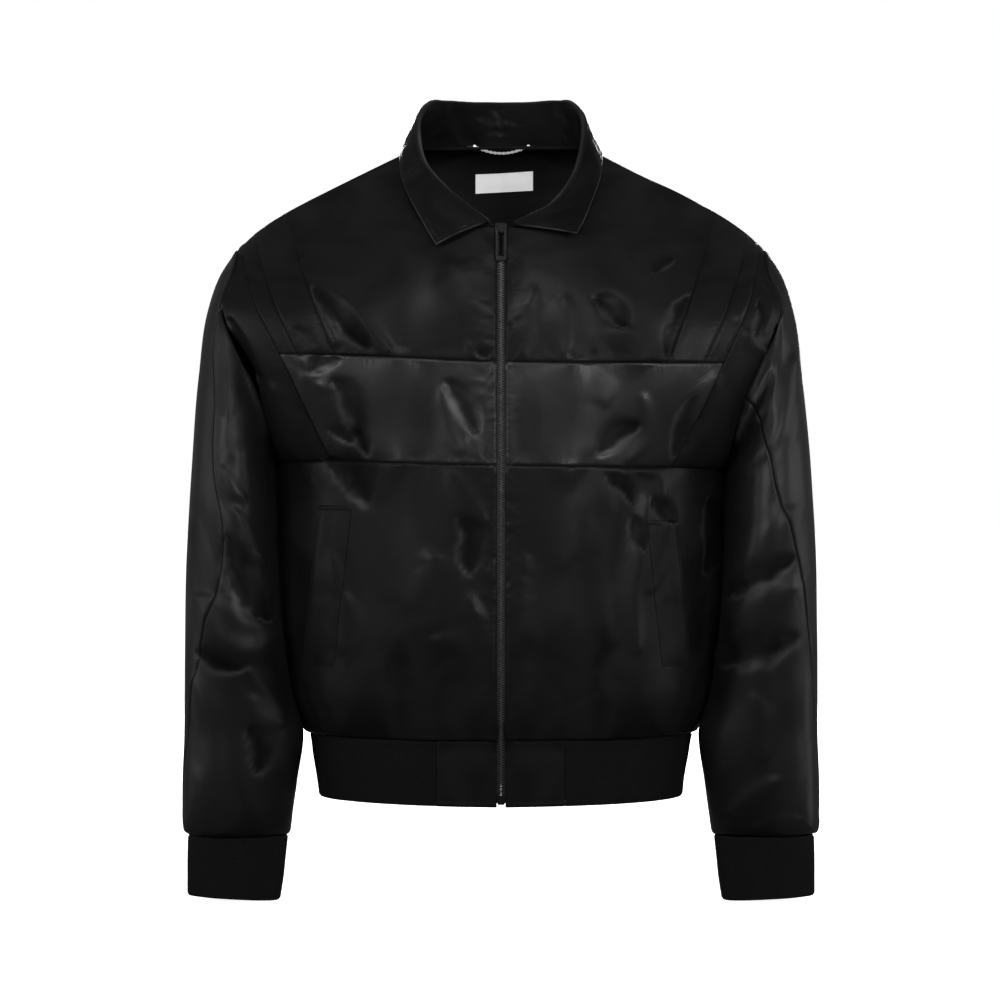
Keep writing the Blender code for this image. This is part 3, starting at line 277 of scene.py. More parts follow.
def rowStart(level, back):
    # on the middle line, and above it on the neck seam
    neckLevel = neckBackLevel if back else neckFrontZ
    topZ = neckBackZ if back else neckFrontZ
    climb = (topZ - underarmZ) / (neckLevel - underarmZ)
    height = np.where(level > underarmZ, underarmZ + (level - underarmZ) * climb, level)
    _, front, behind = read(bodyTable, height)
    dip = hemDip * ease((ribTopZ - level) / (ribTopZ - hemZ))
    middle = stack(0.0, behind if back else -front, height if back else height - dip)
    turn = np.clip((level - neckLevel) / -neckLevel, 0, 1)
    return np.where((level > neckLevel)[..., None], neckline(turn, back), middle)


def rowEnd(level, back):
    # on the side seam, and above it on the armhole
    angle = np.radians(read(rowTable, level)[0])
    side = stack(read(bodyTable, level)[0], 0.0, level)
    hole = armhole(2 * math.pi - angle if back else angle)
    return np.where((level > underarmZ)[..., None], hole, side)


def bodyPoint(level, across, back):
    # a mean of five rows, so that the cloth turns softly where the rows reach the neck
    level, across = np.broadcast_arrays(np.asarray(level, float), np.asarray(across, float))
    reach = 0.020 * bell(level - neckFrontZ, 0.030) * ease(across / 0.4)
    reach = np.minimum(reach, -level)
    total = 0.0
    for shift, weight in ((-1, 1), (-0.5, 4), (0, 6), (0.5, 4), (1, 1)):
        total = total + rawBodyPoint(level + shift * reach, across, back) * (weight / 16)
    return total


def rawBodyPoint(level, across, back):
    # each row is a cubic arc from the middle to the side
    level, across = np.broadcast_arrays(np.asarray(level, float), np.asarray(across, float))
    _, reachIn, reachOut, lean = read(rowTable, level)
    start = rowStart(level, back)
    end = rowEnd(level, back)
    facing = -1.0 if back else 1.0
    lean = np.radians(lean)
    wide = end[..., 0] - start[..., 0]
    deep = end[..., 1] - start[..., 1]
    span = np.hypot(wide * np.cos(lean), deep * np.sin(lean)) * reachOut
    nearX = start[..., 0] + reachIn * wide
    farX = end[..., 0] - span * np.cos(lean)
    farY = end[..., 1] - span * np.sin(lean) * facing
    rest = 1 - across
    weights = (rest**3, 3 * rest**2 * across, 3 * rest * across**2, across**3)
    x = weights[0] * start[..., 0] + weights[1] * nearX + weights[2] * farX
    x = x + weights[3] * end[..., 0]
    y = (weights[0] + weights[1]) * start[..., 1] + weights[2] * farY + weights[3] * end[..., 1]
    share = np.clip((x - start[..., 0]) / wide, 0, 1)
    drop = 0.14 * ease((level - chestSeamZ) / -chestSeamZ)
    share = share * (1 - drop) + share**8 * drop
    return stack(x, y, start[..., 2] + (end[..., 2] - start[..., 2]) * share)


def slopes(function, first, second, low, high):
    # tangents along both parameters, kept inside the limits
    small = 1e-4
    less = [np.maximum(value - small, edge) for value, edge in zip((first, second), low)]
    more = [np.minimum(value + small, edge) for value, edge in zip((first, second), high)]
    along = function(more[0], second) - function(less[0], second)
    around = function(first, more[1]) - function(first, less[1])
    return unit(along), unit(around)


def bodyNormal(level, across, back):
    above = np.where(level > underarmZ, 0.0, underarmZ)
    up, out = slopes(lambda a, b: bodyPoint(a, b, back), level, across, (hemZ, 0.0), (above, 1.0))
    normal = np.cross(out, up)
    atMiddle = (across < 1e-6) & (level <= (neckBackLevel if back else neckFrontZ) + 1e-6)
    normal[..., 0] = np.where(atMiddle, 0.0, normal[..., 0])
    normal = unit(normal)
    return -normal if back else normal


def sleevePoint(angle, along):
    # a ring of the sleeve with its own outer and inner edge
    outerZ, innerZ, outerX, innerX, middleY, front, behind = read(sleeveTable, along)
    rise = (1 - np.cos(angle)) / 2
    depth = np.where(np.sin(angle) > 0, front, behind)
    fade = np.clip(1 - along / 0.16, 0, 1) ** 2
    return stack(
        innerX + (outerX - innerX) * rise + armholeBulge(angle) * fade,
        middleY - depth * np.sin(angle),
        innerZ + (outerZ - innerZ) * rise,
    )


def sleeveNormal(angle, along):
    around, down = slopes(sleevePoint, angle, along, (-10.0, 0.0), (10.0, 1.0))
    return unit(np.cross(down, around))


def acrossAt(level, target):
    # where each front row passes a slanting seam or a distance from the middle
    tries = np.linspace(0, 1, 241)
    rows = bodyPoint(level[:, None], tries[None, :], False)
    if isinstance(target, tuple):
        target = read(target, rows[..., 2])[0]
    elif np.ndim(target):
        target = np.asarray(target)[:, None]
    beyond = rows[..., 0] - target
    hit = np.argmax(beyond >= 0, axis=1)
    hit = np.where((beyond >= 0).any(axis=1), hit, len(tries) - 1)
    before = np.maximum(hit - 1, 0)
    line = np.arange(len(level))
    gap = beyond[line, hit] - beyond[line, before]
    part = np.where(hit > 0, -beyond[line, before] / np.where(gap == 0, 1, gap), 0)
    return np.clip(tries[before] + part * (tries[hit] - tries[before]), 0, 1)


def sway(points):
    # the cloth hangs a little higher on the wearer's right
    lift = read(swayTable, points[..., 0])[0]
    lift = lift * bell(points[..., 2] + 0.250, 0.090)
    return points + lift[..., None] * np.array([0.0, 0.0, 1.0])


# ---- folds, ripples and gathers ----

# width and path in millimetres, rise in tenths; x and z in turn, dents have a rise below zero
frontFolds = (
    # chest, wearer's right
    (10, 36, -192, -117, -173, -141, -148, -157, -129, -182, -108, -203),
    (7, 26, -189, -138, -171, -164, -158, -199),
    (11, -32, -177, -145, -159, -163, -142, -185, -127, -201),
    (9, 22, -194, -187, -184, -201, -175, -203), (20, 26, -47, -122, -24, -153, -14, -196),
    (24, 24, -92, -117, -77, -153, -79, -201), (5, -16, -22, -203, -13, -207),
    (5, 14, -32, -197, -26, -206),
    # chest, wearer's left
    (26, 50, 159, -107, 148, -151, 133, -206), (8, -28, 148, -122, 156, -113, 165, -109),
    (11, -34, 93, -151, 104, -157, 117, -174), (9, -30, 180, -149, 169, -170, 159, -201),
    (10, 22, 30, -145, 22, -167, 21, -203), (9, 18, 62, -153, 58, -201),
    (7, 18, 106, -88, 116, -94, 123, -107), (9, 20, 91, -197, 100, -185, 125, -182),
    # band, wearer's right
    (8, -30, -180, -226, -171, -218, -158, -216), (6, 24, -192, -216, -175, -235, -159, -243),
    (11, -36, -158, -239, -146, -248, -135, -277, -129, -301),
    (7, 26, -173, -241, -158, -262, -138, -281), (7, -26, -163, -283, -152, -285, -144, -292),
    (9, 26, -188, -233, -175, -268, -167, -294), (24, 34, -98, -214, -100, -258, -96, -306),
    (10, -38, -49, -235, -35, -252, -24, -277), (7, 22, -56, -243, -51, -277, -39, -298),
    (6, 20, -28, -285, -22, -302), (13, 26, -221, -246, -211, -277, -202, -298),
    # band, wearer's left
    (26, 44, 68, -214, 70, -258, 68, -312), (11, -36, 96, -296, 112, -279, 129, -271),
    (7, 26, 137, -245, 142, -277, 123, -304), (12, 32, 205, -226, 194, -268, 179, -302),
    (9, -24, 184, -245, 175, -277, 167, -298), (9, 20, 95, -226, 100, -248),
    # lower front, wearer's right
    (24, 28, -93, -315, -95, -363, -87, -439), (18, -30, -163, -312, -138, -323, -129, -344),
    (7, 24, -150, -323, -148, -334), (8, 20, -192, -313, -184, -329),
    (10, 20, -163, -401, -158, -439, -152, -487), (8, 18, -148, -439, -142, -468, -146, -497),
    (16, 30, -64, -401, -47, -430, -26, -451), (13, 28, -58, -478, -39, -487, -30, -516),
    (12, -28, -37, -363, -28, -382, -30, -411), (8, 20, -47, -320, -30, -344, -16, -363),
    (9, 20, -30, -439, -16, -478, -14, -525),
    # lower front, wearer's left
    (12, 38, 119, -319, 106, -363, 98, -411, 106, -478),
    (8, 28, 142, -344, 133, -401, 127, -439, 131, -487), (8, 24, 163, -363, 156, -401, 144, -430),
    (8, -28, 127, -363, 133, -378, 138, -390), (9, -32, 106, -321, 119, -331, 127, -344),
    (9, -32, 148, -344, 159, -355, 167, -363), (5, 26, 133, -315, 152, -319, 158, -344),
    (22, 28, 60, -319, 62, -363, 58, -401), (9, 18, 24, -401, 18, -439, 22, -525),
    # sleeve, wearer's right
    (6, -50, -265, -172, -250, -209, -236, -234), (8, 30, -269, -180, -260, -228, -263, -267),
    (6, 24, -256, -103, -250, -122, -262, -143), (6, 32, -267, -319, -260, -334, -250, -344),
    (7, 36, -258, -356, -244, -379, -231, -404), (6, 30, -236, -398, -227, -421, -223, -440),
    (15, -46, -262, -387, -248, -425, -227, -456),
    (11, 64, -294, -440, -269, -479, -242, -489, -213, -473),
    (8, 34, -287, -437, -265, -452, -246, -466, -215, -469),
    (11, -36, -294, -494, -271, -500, -252, -506), (6, 36, -246, -508, -231, -527, -213, -551),
    (7, 30, -240, -537, -231, -552, -211, -560),
    (18, 54, -300, -520, -277, -566, -256, -622, -236, -659),
    (12, -32, -242, -568, -231, -585, -234, -606), (10, 28, -302, -605, -294, -633, -285, -657),
    (8, 20, -260, -302, -238, -303), (8, 22, -231, -246, -231, -286),
    # sleeve, wearer's left
    (5, 28, 242, -136, 233, -151, 229, -166), (5, 32, 254, -137, 262, -155, 254, -180),
    (5, 32, 265, -134, 275, -153, 269, -170), (5, -26, 250, -151, 254, -166, 246, -182),
    (5, 28, 238, -180, 246, -192, 258, -199), (7, 44, 285, -205, 277, -251, 256, -292, 219, -327),
    (7, -46, 262, -224, 248, -261, 223, -315), (6, 34, 262, -201, 258, -240, 242, -267),
    (8, 24, 289, -199, 289, -247, 279, -286), (18, 54, 223, -421, 242, -390, 281, -356),
    (19, 60, 207, -475, 233, -452, 279, -429), (12, -34, 213, -435, 240, -421, 279, -402),
    (16, -36, 207, -498, 240, -489, 283, -479), (8, 34, 223, -649, 242, -633, 265, -616),
    (6, 26, 219, -664, 233, -651), (6, 22, 248, -664, 265, -657, 289, -655),
    (9, 22, 246, -537, 258, -566, 254, -595), (12, -34, 207, -344, 213, -383, 204, -412),
)

backFolds = (
    (15, 45, -245, -190, -215, -260, -150, -330), (11, 35, -250, -240, -205, -300, -170, -390),
    (13, -35, -225, -235, -190, -290), (15, 45, 248, -200, 210, -270, 140, -350),
    (10, 35, 252, -250, 200, -320, 175, -400), (13, -35, 228, -245, 185, -300),
    (22, 35, -100, -260, -85, -360, -95, -500), (20, 35, 60, -300, 85, -400, 75, -520),
    (13, 30, -150, -470, -60, -500, 20, -485), (12, 30, 10, -515, 80, -530, 160, -500),
    (15, -30, -30, -200, 30, -215), (18, 30, -70, -80, 0, -105, 75, -85),
    (12, 55, -300, -430, -262, -470, -218, -480), (10, 40, -296, -480, -258, -505, -222, -505),
    (10, -40, -285, -450, -240, -492), (14, 45, -295, -560, -265, -610, -240, -655),
    (12, 55, 300, -420, 262, -465, 220, -480), (10, 40, 298, -475, 258, -500, 222, -510),
    (10, -40, 285, -445, 242, -490), (14, 45, 298, -550, 262, -600, 242, -650),
)


def noise(points, seed):
    # smooth random values from -1 to 1 on a lattice of unit cells
    cell = np.floor(points).astype(np.int64)
    part = ease(points - cell)
    table = np.random.default_rng(seed).uniform(-1, 1, 8192)
    total = np.zeros(points.shape[:-1])
    for dx in (0, 1):
        for dy in (0, 1):
            for dz in (0, 1):
                mixed = (cell[..., 0] + dx) * 73856093 ^ (cell[..., 1] + dy) * 19349663
                value = table[(mixed ^ (cell[..., 2] + dz) * 83492791) & 8191]
                weight = np.where(dx, part[..., 0], 1 - part[..., 0])
                weight = weight * np.where(dy, part[..., 1], 1 - part[..., 1])
                total += value * weight * np.where(dz, part[..., 2], 1 - part[..., 2])
    return total


def nearLine(x, z, line):
    # distance to a curved line, its side, and the share of its length passed
    corners = line
    if len(corners) > 2:
        steps = np.arange(len(corners), dtype=float)
        fine = np.linspace(0, len(corners) - 1, 9)
        corners = np.stack([smooth(fine, steps, part) for part in corners.T], -1)
    runs = np.diff(corners, axis=0)
    lengths = np.hypot(runs[:, 0], runs[:, 1])
    best = np.full(x.shape, 1e9)
    side = np.ones(x.shape)
    share = np.zeros(x.shape)
    passed = 0.0
    for (x0, z0), (dx, dz), length in zip(corners[:-1], runs, lengths):
        part = np.clip(((x - x0) * dx + (z - z0) * dz) / length**2, 0, 1)
        offX, offZ = x - x0 - part * dx, z - z0 - part * dz
        far = np.hypot(offX, offZ)
        closer = far < best
        best = np.where(closer, far, best)
        side = np.where(closer, np.sign(dx * offZ - dz * offX), side)
        share = np.where(closer, (passed + part * length) / lengths.sum(), share)
        passed += length
    return best, side, share


def foldHeight(points, normals, onSleeve=False):
    # ridge: a bell across the line, steeper on one side; dent: a leaf with a soft flat floor.
    # Also gives the painted shade of the satin, in dents and in the shade patches, and the painted
    # highlight on the rims of the dents
    height, paintedShading, rimHighlight = (np.zeros(points.shape[:-1]) for _ in range(3))
    for face, folds in ((-1, frontFolds), (1, backFolds)):
        facing = ease((face * normals[..., 1] - 0.10) / 0.35)
        for width, rise, *path in folds:
            width, rise = width / 1000, rise / 10000
            xs, zs = (np.array(path[axis::2]) / 1000 for axis in (0, 1))
            reach = width * 3.2
            # the sleeves leave out the body's folds, and the body those on the sleeves lower down
            middle = abs(sum(xs)) / len(xs)
            low = sum(zs) / len(zs) < -0.30
            elsewhere = middle < 0.20 if onSleeve else low and middle > 0.214
            if elsewhere:
                continue
            near = (points[..., 0] > min(xs) - reach) & (points[..., 0] < max(xs) + reach)
            near &= (points[..., 2] > min(zs) - reach) & (points[..., 2] < max(zs) + reach)
            near &= facing > 0
            if not near.any():
                continue
            found = points[near]
            far, side, share = nearLine(found[:, 0], found[:, 2], np.stack([xs, zs], -1))
            thin = 0.40 + 0.60 * np.sin(math.pi * np.clip(share, 0, 1)) ** 0.7
            far = far / (width * thin)
            if rise > 0:
                shape = np.exp(-((far / 1.3) ** 2) * (1 + 0.3 * np.tanh(side * far)))
            else:
                shape = 0.5 * (1 - np.tanh((far - 1) / 0.42))
                far = far + 0.40 * noise(found / 0.013, 71) + 0.20 * noise(found / 0.0055, 72)
                # painted shade: the dent's leaf goes toward plain black
                leaf = 0.5 * (1 - np.tanh((far - 0.72) / (0.20 + 0.22 * (1 + side))))
                paintedShading[near] = np.maximum(paintedShading[near], leaf * facing[near])
                # painted highlight on the rim round the dent's leaf
                light = bell(far - 1.15, 0.22) * (0.045 - 0.035 * side)
                rimHighlight[near] = np.maximum(rimHighlight[near], light * facing[near])
            height[near] += rise * shape * facing[near]
    return height * cloth["fold"], (np.maximum(paintedShading, shadeAt(points, normals)), rimHighlight)


def ripple(points, normals, sizes, seed):
    # soft random waves in three sizes, calmer at the sides and under the collar
    total = np.zeros(points.shape[:-1])
    for number, (wide, tall, rise) in enumerate(sizes):
        scaled = points / np.array([wide, wide * 1.6, tall])
        total += noise(scaled + 7.3 * number, seed + number) * rise
    calm = 0.35 + 0.65 * ease(np.abs(normals[..., 1]) / 0.5)
    neck = np.hypot(points[..., 0] / 0.115, (points[..., 2] + 0.01) / 0.085)
    calm = calm * (0.15 + 0.85 * ease((neck - 0.85) / 0.5))
    return total * calm * cloth["wave"]


bodyRipple = ((0.060, 0.140, 0.0022), (0.031, 0.062, 0.00050), (0.014, 0.026, 0.00006))
sleeveRipple = ((0.048, 0.080, 0.0021), (0.026, 0.040, 0.00045), (0.012, 0.020, 0.00006))


def sideFill(points, normals):
    # the cloth swells a little at the side, in the hollow behind the hanging sleeve
    y, z = points[..., 1], points[..., 2]
    low = 0.0026 * bell(z + 0.450, 0.085, 4) * ease((np.abs(normals[..., 0]) - 0.90) / 0.09)
    behind = ease((y + 0.004) / 0.012) * (1 - ease((y - 0.034) / 0.025))
    high = 0.0036 * bell(z + 0.352, 0.054, 4) * behind
    over = ease((z - ribTopZ) / 0.005) * (1 - ease((z + 0.550) / 0.060))
    return low + high + over * (0.0012 + 0.0026 * ease(np.abs(normals[..., 0]) / 0.8))


def lengths(points):
    # distance passed along every row and every column of a grid
    across = np.linalg.norm(np.diff(points, axis=1), axis=-1)
    along = np.linalg.norm(np.diff(points, axis=0), axis=-1)
    u = np.concatenate([np.zeros((len(points), 1)), np.cumsum(across, axis=1)], axis=1)
    v = np.concatenate([np.zeros((1, points.shape[1])), np.cumsum(along, axis=0)], axis=0)
    return u, v


def gathers(along, away, size, reach, rise, seed):
    # small slanting pleats at a seam, in uneven groups, fading away from it
    drift = noise(stack(along / 0.017, away / 0.012, 0.0), seed + 3)
    spot = stack((along + drift * size * 1.2) / size, away / (size * 2.4) + drift, 0.37 * seed)
    mixed = noise(spot, seed) + 0.6 * noise(spot * 2.1 + 3.1, seed + 1)
    group = 0.25 + 1.1 * ease(0.5 + 0.9 * noise(stack(along / 0.042, 0.0, 0.0), seed + 2))
    return mixed * group * rise * np.exp(-away / reach) * cloth["pucker"]


grooveWidth = 0.0012


def seamHeight(u, v, edges, seed):
    # groove at each sewn edge, a lip where the allowance lies under the cloth, and gathers;
    # then the run along the nearest seam and the way to it, a little more where two meet
    height = np.zeros(u.shape)
    wide, tall = u[:, -1:], v[-1:, :]
    nearest = np.full(u.shape, 1.0)
    second = np.full(u.shape, 1.0)
    run = np.zeros(u.shape)
    ways = {"low": (v, u), "high": (tall - v, u), "in": (u, v), "out": (wide - u, v)}
    for number, (name, (away, along)) in enumerate(ways.items()):
        if name not in edges:
            continue
        groove, lip, rise, size, reach = edges[name]
        # a fading seam is drawn less and less toward the shoulder
        fade = ease((v / tall - 0.30) / 0.5) if edges[name] is fadingSeam else 0.0
        groove = groove * (1 - 0.85 * fade)
        height -= groove * bell(away, grooveWidth)
        height += lip * bell(away - 0.0045, 0.0030)
        height += gathers(along, away, size, reach, rise, seed + 11 * number) * ease(away / 0.0015)
        away = away + 0.0025 * fade
        closer = away < nearest
        second = np.where(closer, nearest, np.minimum(second, away))
        nearest = np.where(closer, away, nearest)
        run = np.where(closer, along, run)
    return height, run, nearest + 0.04 * (1 - ease((second - nearest) / 0.006))


# groove, lip, gather height, gather size, how far it reaches
plainSeam = (0.0006, 0.0, 0.00026, 0.009, 0.010)
raisedSeam = (0.0008, 0.00005, 0.00022, 0.009, 0.012)
slantSeam = (0.0010, 0.0002, 0.00018, 0.007, 0.007)
fadingSeam = (0.0009, 0.00005, 0.00012, 0.009, 0.007)
zipSeam = (0.0010, 0.0001, 0.00075, 0.0056, 0.015)
ribSeam = (0.0010, 0.0002, 0.0010, 0.011, 0.022)
holeSeam = (0.0012, 0.0004, 0.0006, 0.010, 0.014)
pressedEdge = (0.0016, 0.0, 0.0003, 0.009, 0.006)


def spread(length, cell, first=(), last=()):
    # shares of a length: given places near both ends, even cells between them
    first, last = np.array((0.0,) + tuple(first)), np.array((0.0,) + tuple(last))
    count = max(3, int((length - first[-1] - last[-1]) / cell))
    middle = np.linspace(first[-1], length - last[-1], count)
    places = np.concatenate([first[:-1], middle, (length - last[:-1])[::-1]])
    return places / length


fineEdge = (0.0007, 0.0015, 0.0025, 0.0038, 0.0053)
zipEdge = (0.0006, 0.0013, 0.0021, 0.0030, 0.0042, 0.0056, 0.0071, 0.0087, 0.0104, 0.0122, 0.0141)


# ---- meshes ----


def putIn(name, points, faces, finish, maps=(), smoothAngle=55):
    # one mesh from whole arrays of points and four-cornered or three-cornered faces
    mesh = bpy.data.meshes.new(name)
    corners = faces.shape[1]
    mesh.vertices.add(len(points))
    mesh.vertices.foreach_set("co", points.astype(np.float32).ravel())
    mesh.loops.add(faces.size)
    mesh.loops.foreach_set("vertex_index", faces.astype(np.int32).ravel())
    mesh.polygons.add(len(faces))
    mesh.polygons.foreach_set("loop_start", np.arange(0, faces.size, corners, dtype=np.int32))
    mesh.update(calc_edges=True)
    for mapName, values in maps:
        layer = mesh.uv_layers.new(name=mapName)
        layer.data.foreach_set("uv", values.astype(np.float32).ravel())
    mesh.shade_smooth()
    mesh.set_sharp_from_angle(angle=math.radians(smoothAngle))
    mesh.materials.append(finish)
    made = bpy.data.objects.new(name, mesh)
    bpy.context.scene.collection.objects.link(made)
    return made


def wall(name, outer, inner, finish, maps, closed=False, paintedInsideLight=0.09):
    # a closed wall between two grids; closed joins the last column to the first;
    # the inside faces are painted lighter by the last value: partly the satin's matt reverse, partly
    # painted light where little light reaches
    rows, columns = outer.shape[:2]
    kept = columns - 1 if closed else columns
    index = np.arange(rows * kept).reshape(rows, kept)
    if closed:
        index = np.concatenate([index, index[:, :1]], axis=1)
    count = rows * kept
    points = np.concatenate([outer[:, :kept].reshape(-1, 3), inner[:, :kept].reshape(-1, 3)])
    spots = np.arange(rows * columns).reshape(rows, columns)

    def squares(grid):
        low, high = grid[:-1], grid[1:]
        return np.stack([low[:, :-1], low[:, 1:], high[:, 1:], high[:, :-1]], -1).reshape(-1, 4)

    def rims(grid, shift):
        parts = [(grid[0, 1:], grid[0, :-1]), (grid[-1, :-1], grid[-1, 1:])]
        if not closed:
            parts += [(grid[1:, -1], grid[:-1, -1]), (grid[:-1, 0], grid[1:, 0])]
        return np.concatenate([np.stack([a, b, b + shift, a + shift], -1) for a, b in parts])

    front, frontSpots = squares(index), squares(spots)
    across = points[front[:, 2]] - points[front[:, 0]]
    down = points[front[:, 3]] - points[front[:, 1]]
    away = points[front[:, 0]] - points[front[:, 0] + count]
    flip = np.sum(np.cross(across, down) * away) < 0
    faces = np.concatenate([front, front[:, ::-1] + count, rims(index, count)])
    spots = np.concatenate([frontSpots, frontSpots[:, ::-1], rims(spots, 0)])
    if flip:
        faces, spots = faces[:, ::-1], spots[:, ::-1]
    values = [(label, grid.reshape(-1, 2)[spots.ravel()]) for label, grid in maps]
    if values[-1][0] == "shade":
        # painted light on the inside faces, through the light rim colour
        values[-1][1][:, 1] += np.where(faces.ravel() >= count, paintedInsideLight, 0.0)
    return putIn(name, sway(points), faces, finish, values)


fill = 0.995


def flatSize(points):
    # width, length and area of a grid's cut
    u, v = lengths(points)
    one = points[1:, 1:] - points[:-1, :-1]
    two = points[1:, :-1] - points[:-1, 1:]
    area = float(np.linalg.norm(np.cross(one, two), axis=-1).sum() / 2)
    width, length = float(u[:, -1].max()), float(v[-1].max())
    # a cut with slanting ends is at least as long as its area needs
    length = max(length, area / width / fill)
    return (round(width, 5), round(length, 5)), round(area, 8)


def handOver(piece, node):
    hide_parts(node)
    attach(piece, "jacket")


def sew(piece, base, node):
    # hands a soft piece to the frame; the size of its cut is worked out and not used
    flat, area = flatSize(base)
    handOver(piece, node)


# ---- materials ----


class Wire:
    # a socket of a material; arithmetic on it adds Math nodes

    def __init__(self, tree, socket=None):
        self.tree, self.socket = tree, socket

    def node(self, kind, settings=None, values=None, out=0):
        made = self.tree.nodes.new(kind)
        for key, value in (settings or {}).items():
            setattr(made, key, value)
        for key, value in (values or {}).items():
            if isinstance(value, Wire):
                self.tree.links.new(value.socket, made.inputs[key])
            else:
                made.inputs[key].default_value = value
        return Wire(self.tree, made.outputs[out])

    def sum(self, operation, first, second=0.0):
        return self.node("ShaderNodeMath", {"operation": operation}, {0: first, 1: second})

    def __add__(self, other):
        return self.sum("ADD", self, other)

    def __sub__(self, other):
        return self.sum("SUBTRACT", self, other)

    def __mul__(self, other):
        return self.sum("MULTIPLY", self, other)

    __radd__, __rmul__ = __add__, __mul__

    def sin(self):
        return self.sum("SINE", self)

    def exp(self):
        return self.sum("EXPONENT", self)

    def size(self):
        return self.sum("ABSOLUTE", self)

    def parts(self):
        made = self.tree.nodes.new("ShaderNodeSeparateXYZ")
        self.tree.links.new(self.socket, made.inputs[0])
        return [Wire(self.tree, made.outputs[number]) for number in range(3)]

    def scaled(self, x, y, z=1.0):
        values = {0: self, 1: (x, y, z)}
        return self.node("ShaderNodeVectorMath", {"operation": "MULTIPLY"}, values)

    def noise(self, scale, detail=2.0, roughness=0.5, swirl=0.0):
        values = {"Vector": self, "Scale": scale, "Detail": detail, "Roughness": roughness,
                  "Distortion": swirl}
        return self.node("ShaderNodeTexNoise", {}, values)

    def ramp(self, low, high, start=0.0, end=1.0):
        values = {0: self, 1: low, 2: high, 3: start, 4: end}
        return self.node("ShaderNodeMapRange", {"interpolation_type": "SMOOTHSTEP"}, values)

    def between(self, first, second):
        # from the first colour to the second; either can be a wire
        values = {0: self}
        for place, colour in ((6, first), (7, second)):
            values[place] = colour if isinstance(colour, Wire) else (*colour, 1.0)
        return self.node("ShaderNodeMix", {"data_type": "RGBA"}, values, 2)

    def bump(self, distance, strength=1.0, over=None):
        values = {"Height": self, "Distance": distance, "Strength": strength}
        if over is not None:
            values["Normal"] = over
        return self.node("ShaderNodeBump", {}, values)


def material(name, fixed):
    # a principled shader with its constant values set, and the wire to build on
    made = bpy.data.materials.new(name)
    made.use_nodes = True
    shader = made.node_tree.nodes["Principled BSDF"]
    for key, value in fixed.items():
        shader.inputs[key].default_value = value
    return made, Wire(made.node_tree), shader


def plug(wire, shader, name):
    wire.tree.links.new(wire.socket, shader.inputs[name])


def plugAll(shader, colour, rough, normal):
    for name, wire in (("Base Color", colour), ("Roughness", rough), ("Normal", normal)):
        plug(wire, shader, name)


def clothPlace(start, name="cloth"):
    return start.node("ShaderNodeUVMap", {"uv_map": name})


satinLook = {
    "dark": (0.0034, 0.0032, 0.0033),
    "light": (0.0062, 0.0060, 0.0061),
    "glint": (0.115, 0.112, 0.112),  # the painted highlight of the thin light rims
    "black": (0.0016, 0.0015, 0.0016),
    "paintedShading": 0.92,  # how far a dent's leaf goes to plain black: painted shade
    "patchSpread": 0.15,  # how much the sheen changes from patch to patch
    "crinkle": 0.00005,
    "gather": 0.00032,
    "float": 0.00002,
}
# copies of one satin, set part by part lighter or darker as painted light and shade: shine, roughness,
# how deep the painted shade at its seams is
satinLitCopies = {
    "chest": (0.050, 0.37, 0.9),
    "band": (0.180, 0.40, 0.95),
    "lower": (0.052, 0.36, 0.9),
    "sleeve": (0.110, 0.41, 0.7),
    "collar": (0.042, 0.26, 0.0),
    "tab": (0.018, 0.45, 0.6),
}


def satinMaterial(name, shine, roughness, seamShade):
    # black satin: long floats across the cloth, soft patches, gathers at its seams; painted shade and
    # painted highlights
    look = satinLook
    fixed = {"Specular IOR Level": shine, "Sheen Weight": 0.004, "Sheen Roughness": 0.4}
    made, start, shader = material(name, fixed)
    flat, seam = clothPlace(start), clothPlace(start, "seam")
    leaf, glint, _ = clothPlace(start, "shade").parts()
    cloud = flat.scaled(1.0, 0.7).noise(13.0, 2.0, 0.45, 1.1)
    patch = cloud.ramp(0.36, 0.64)
    fine = flat.scaled(1.0, 0.55).noise(85.0, 4.0, 0.6)
    streak = flat.scaled(0.05, 1.0).noise(1700.0, 1.0)
    # painted highlight: the colour goes light on the glint rims
    colour = glint.between(patch.between(look["light"], look["dark"]), look["glint"])
    rough = roughness + (patch - 0.5) * look["patchSpread"] + (streak - 0.5) * 0.08
    _, away, _ = seam.parts()
    near = (away * -110.0).exp()
    pleat = seam.scaled(1.0, 0.30).noise(190.0, 3.0, 0.55) * near
    first = fine.bump(look["crinkle"] * 8, 0.35)
    second = pleat.bump(look["gather"] * 3, 0.6, first)
    third = streak.bump(look["float"] * 4, 0.4, second)
    plugAll(shader, colour, rough, third)
    # a nearly black shader, mixed in as painted shade in dents' leaves, shade patches and along seams
    black = start.tree.nodes.new("ShaderNodeBsdfPrincipled")
    black.inputs["Specular IOR Level"].default_value = shine * 0.12
    black.inputs["Roughness"].default_value = 0.5
    plug(patch.between(look["dark"], look["black"]), black, "Base Color")
    plug(third, black, "Normal")
    # painted shade along each seam, the nearer the darker
    line = (away * -800.0).exp() * seamShade
    factor = start.sum("MAXIMUM", leaf * look["paintedShading"] * (0.75 + 0.25 * patch), line)
    out = start.tree.nodes["Material Output"]
    mixed = start.node("ShaderNodeMixShader", {}, {0: factor})
    start.tree.links.new(shader.outputs[0], mixed.socket.node.inputs[1])
    start.tree.links.new(black.outputs[0], mixed.socket.node.inputs[2])
    start.tree.links.new(mixed.socket, out.inputs["Surface"])
    return made


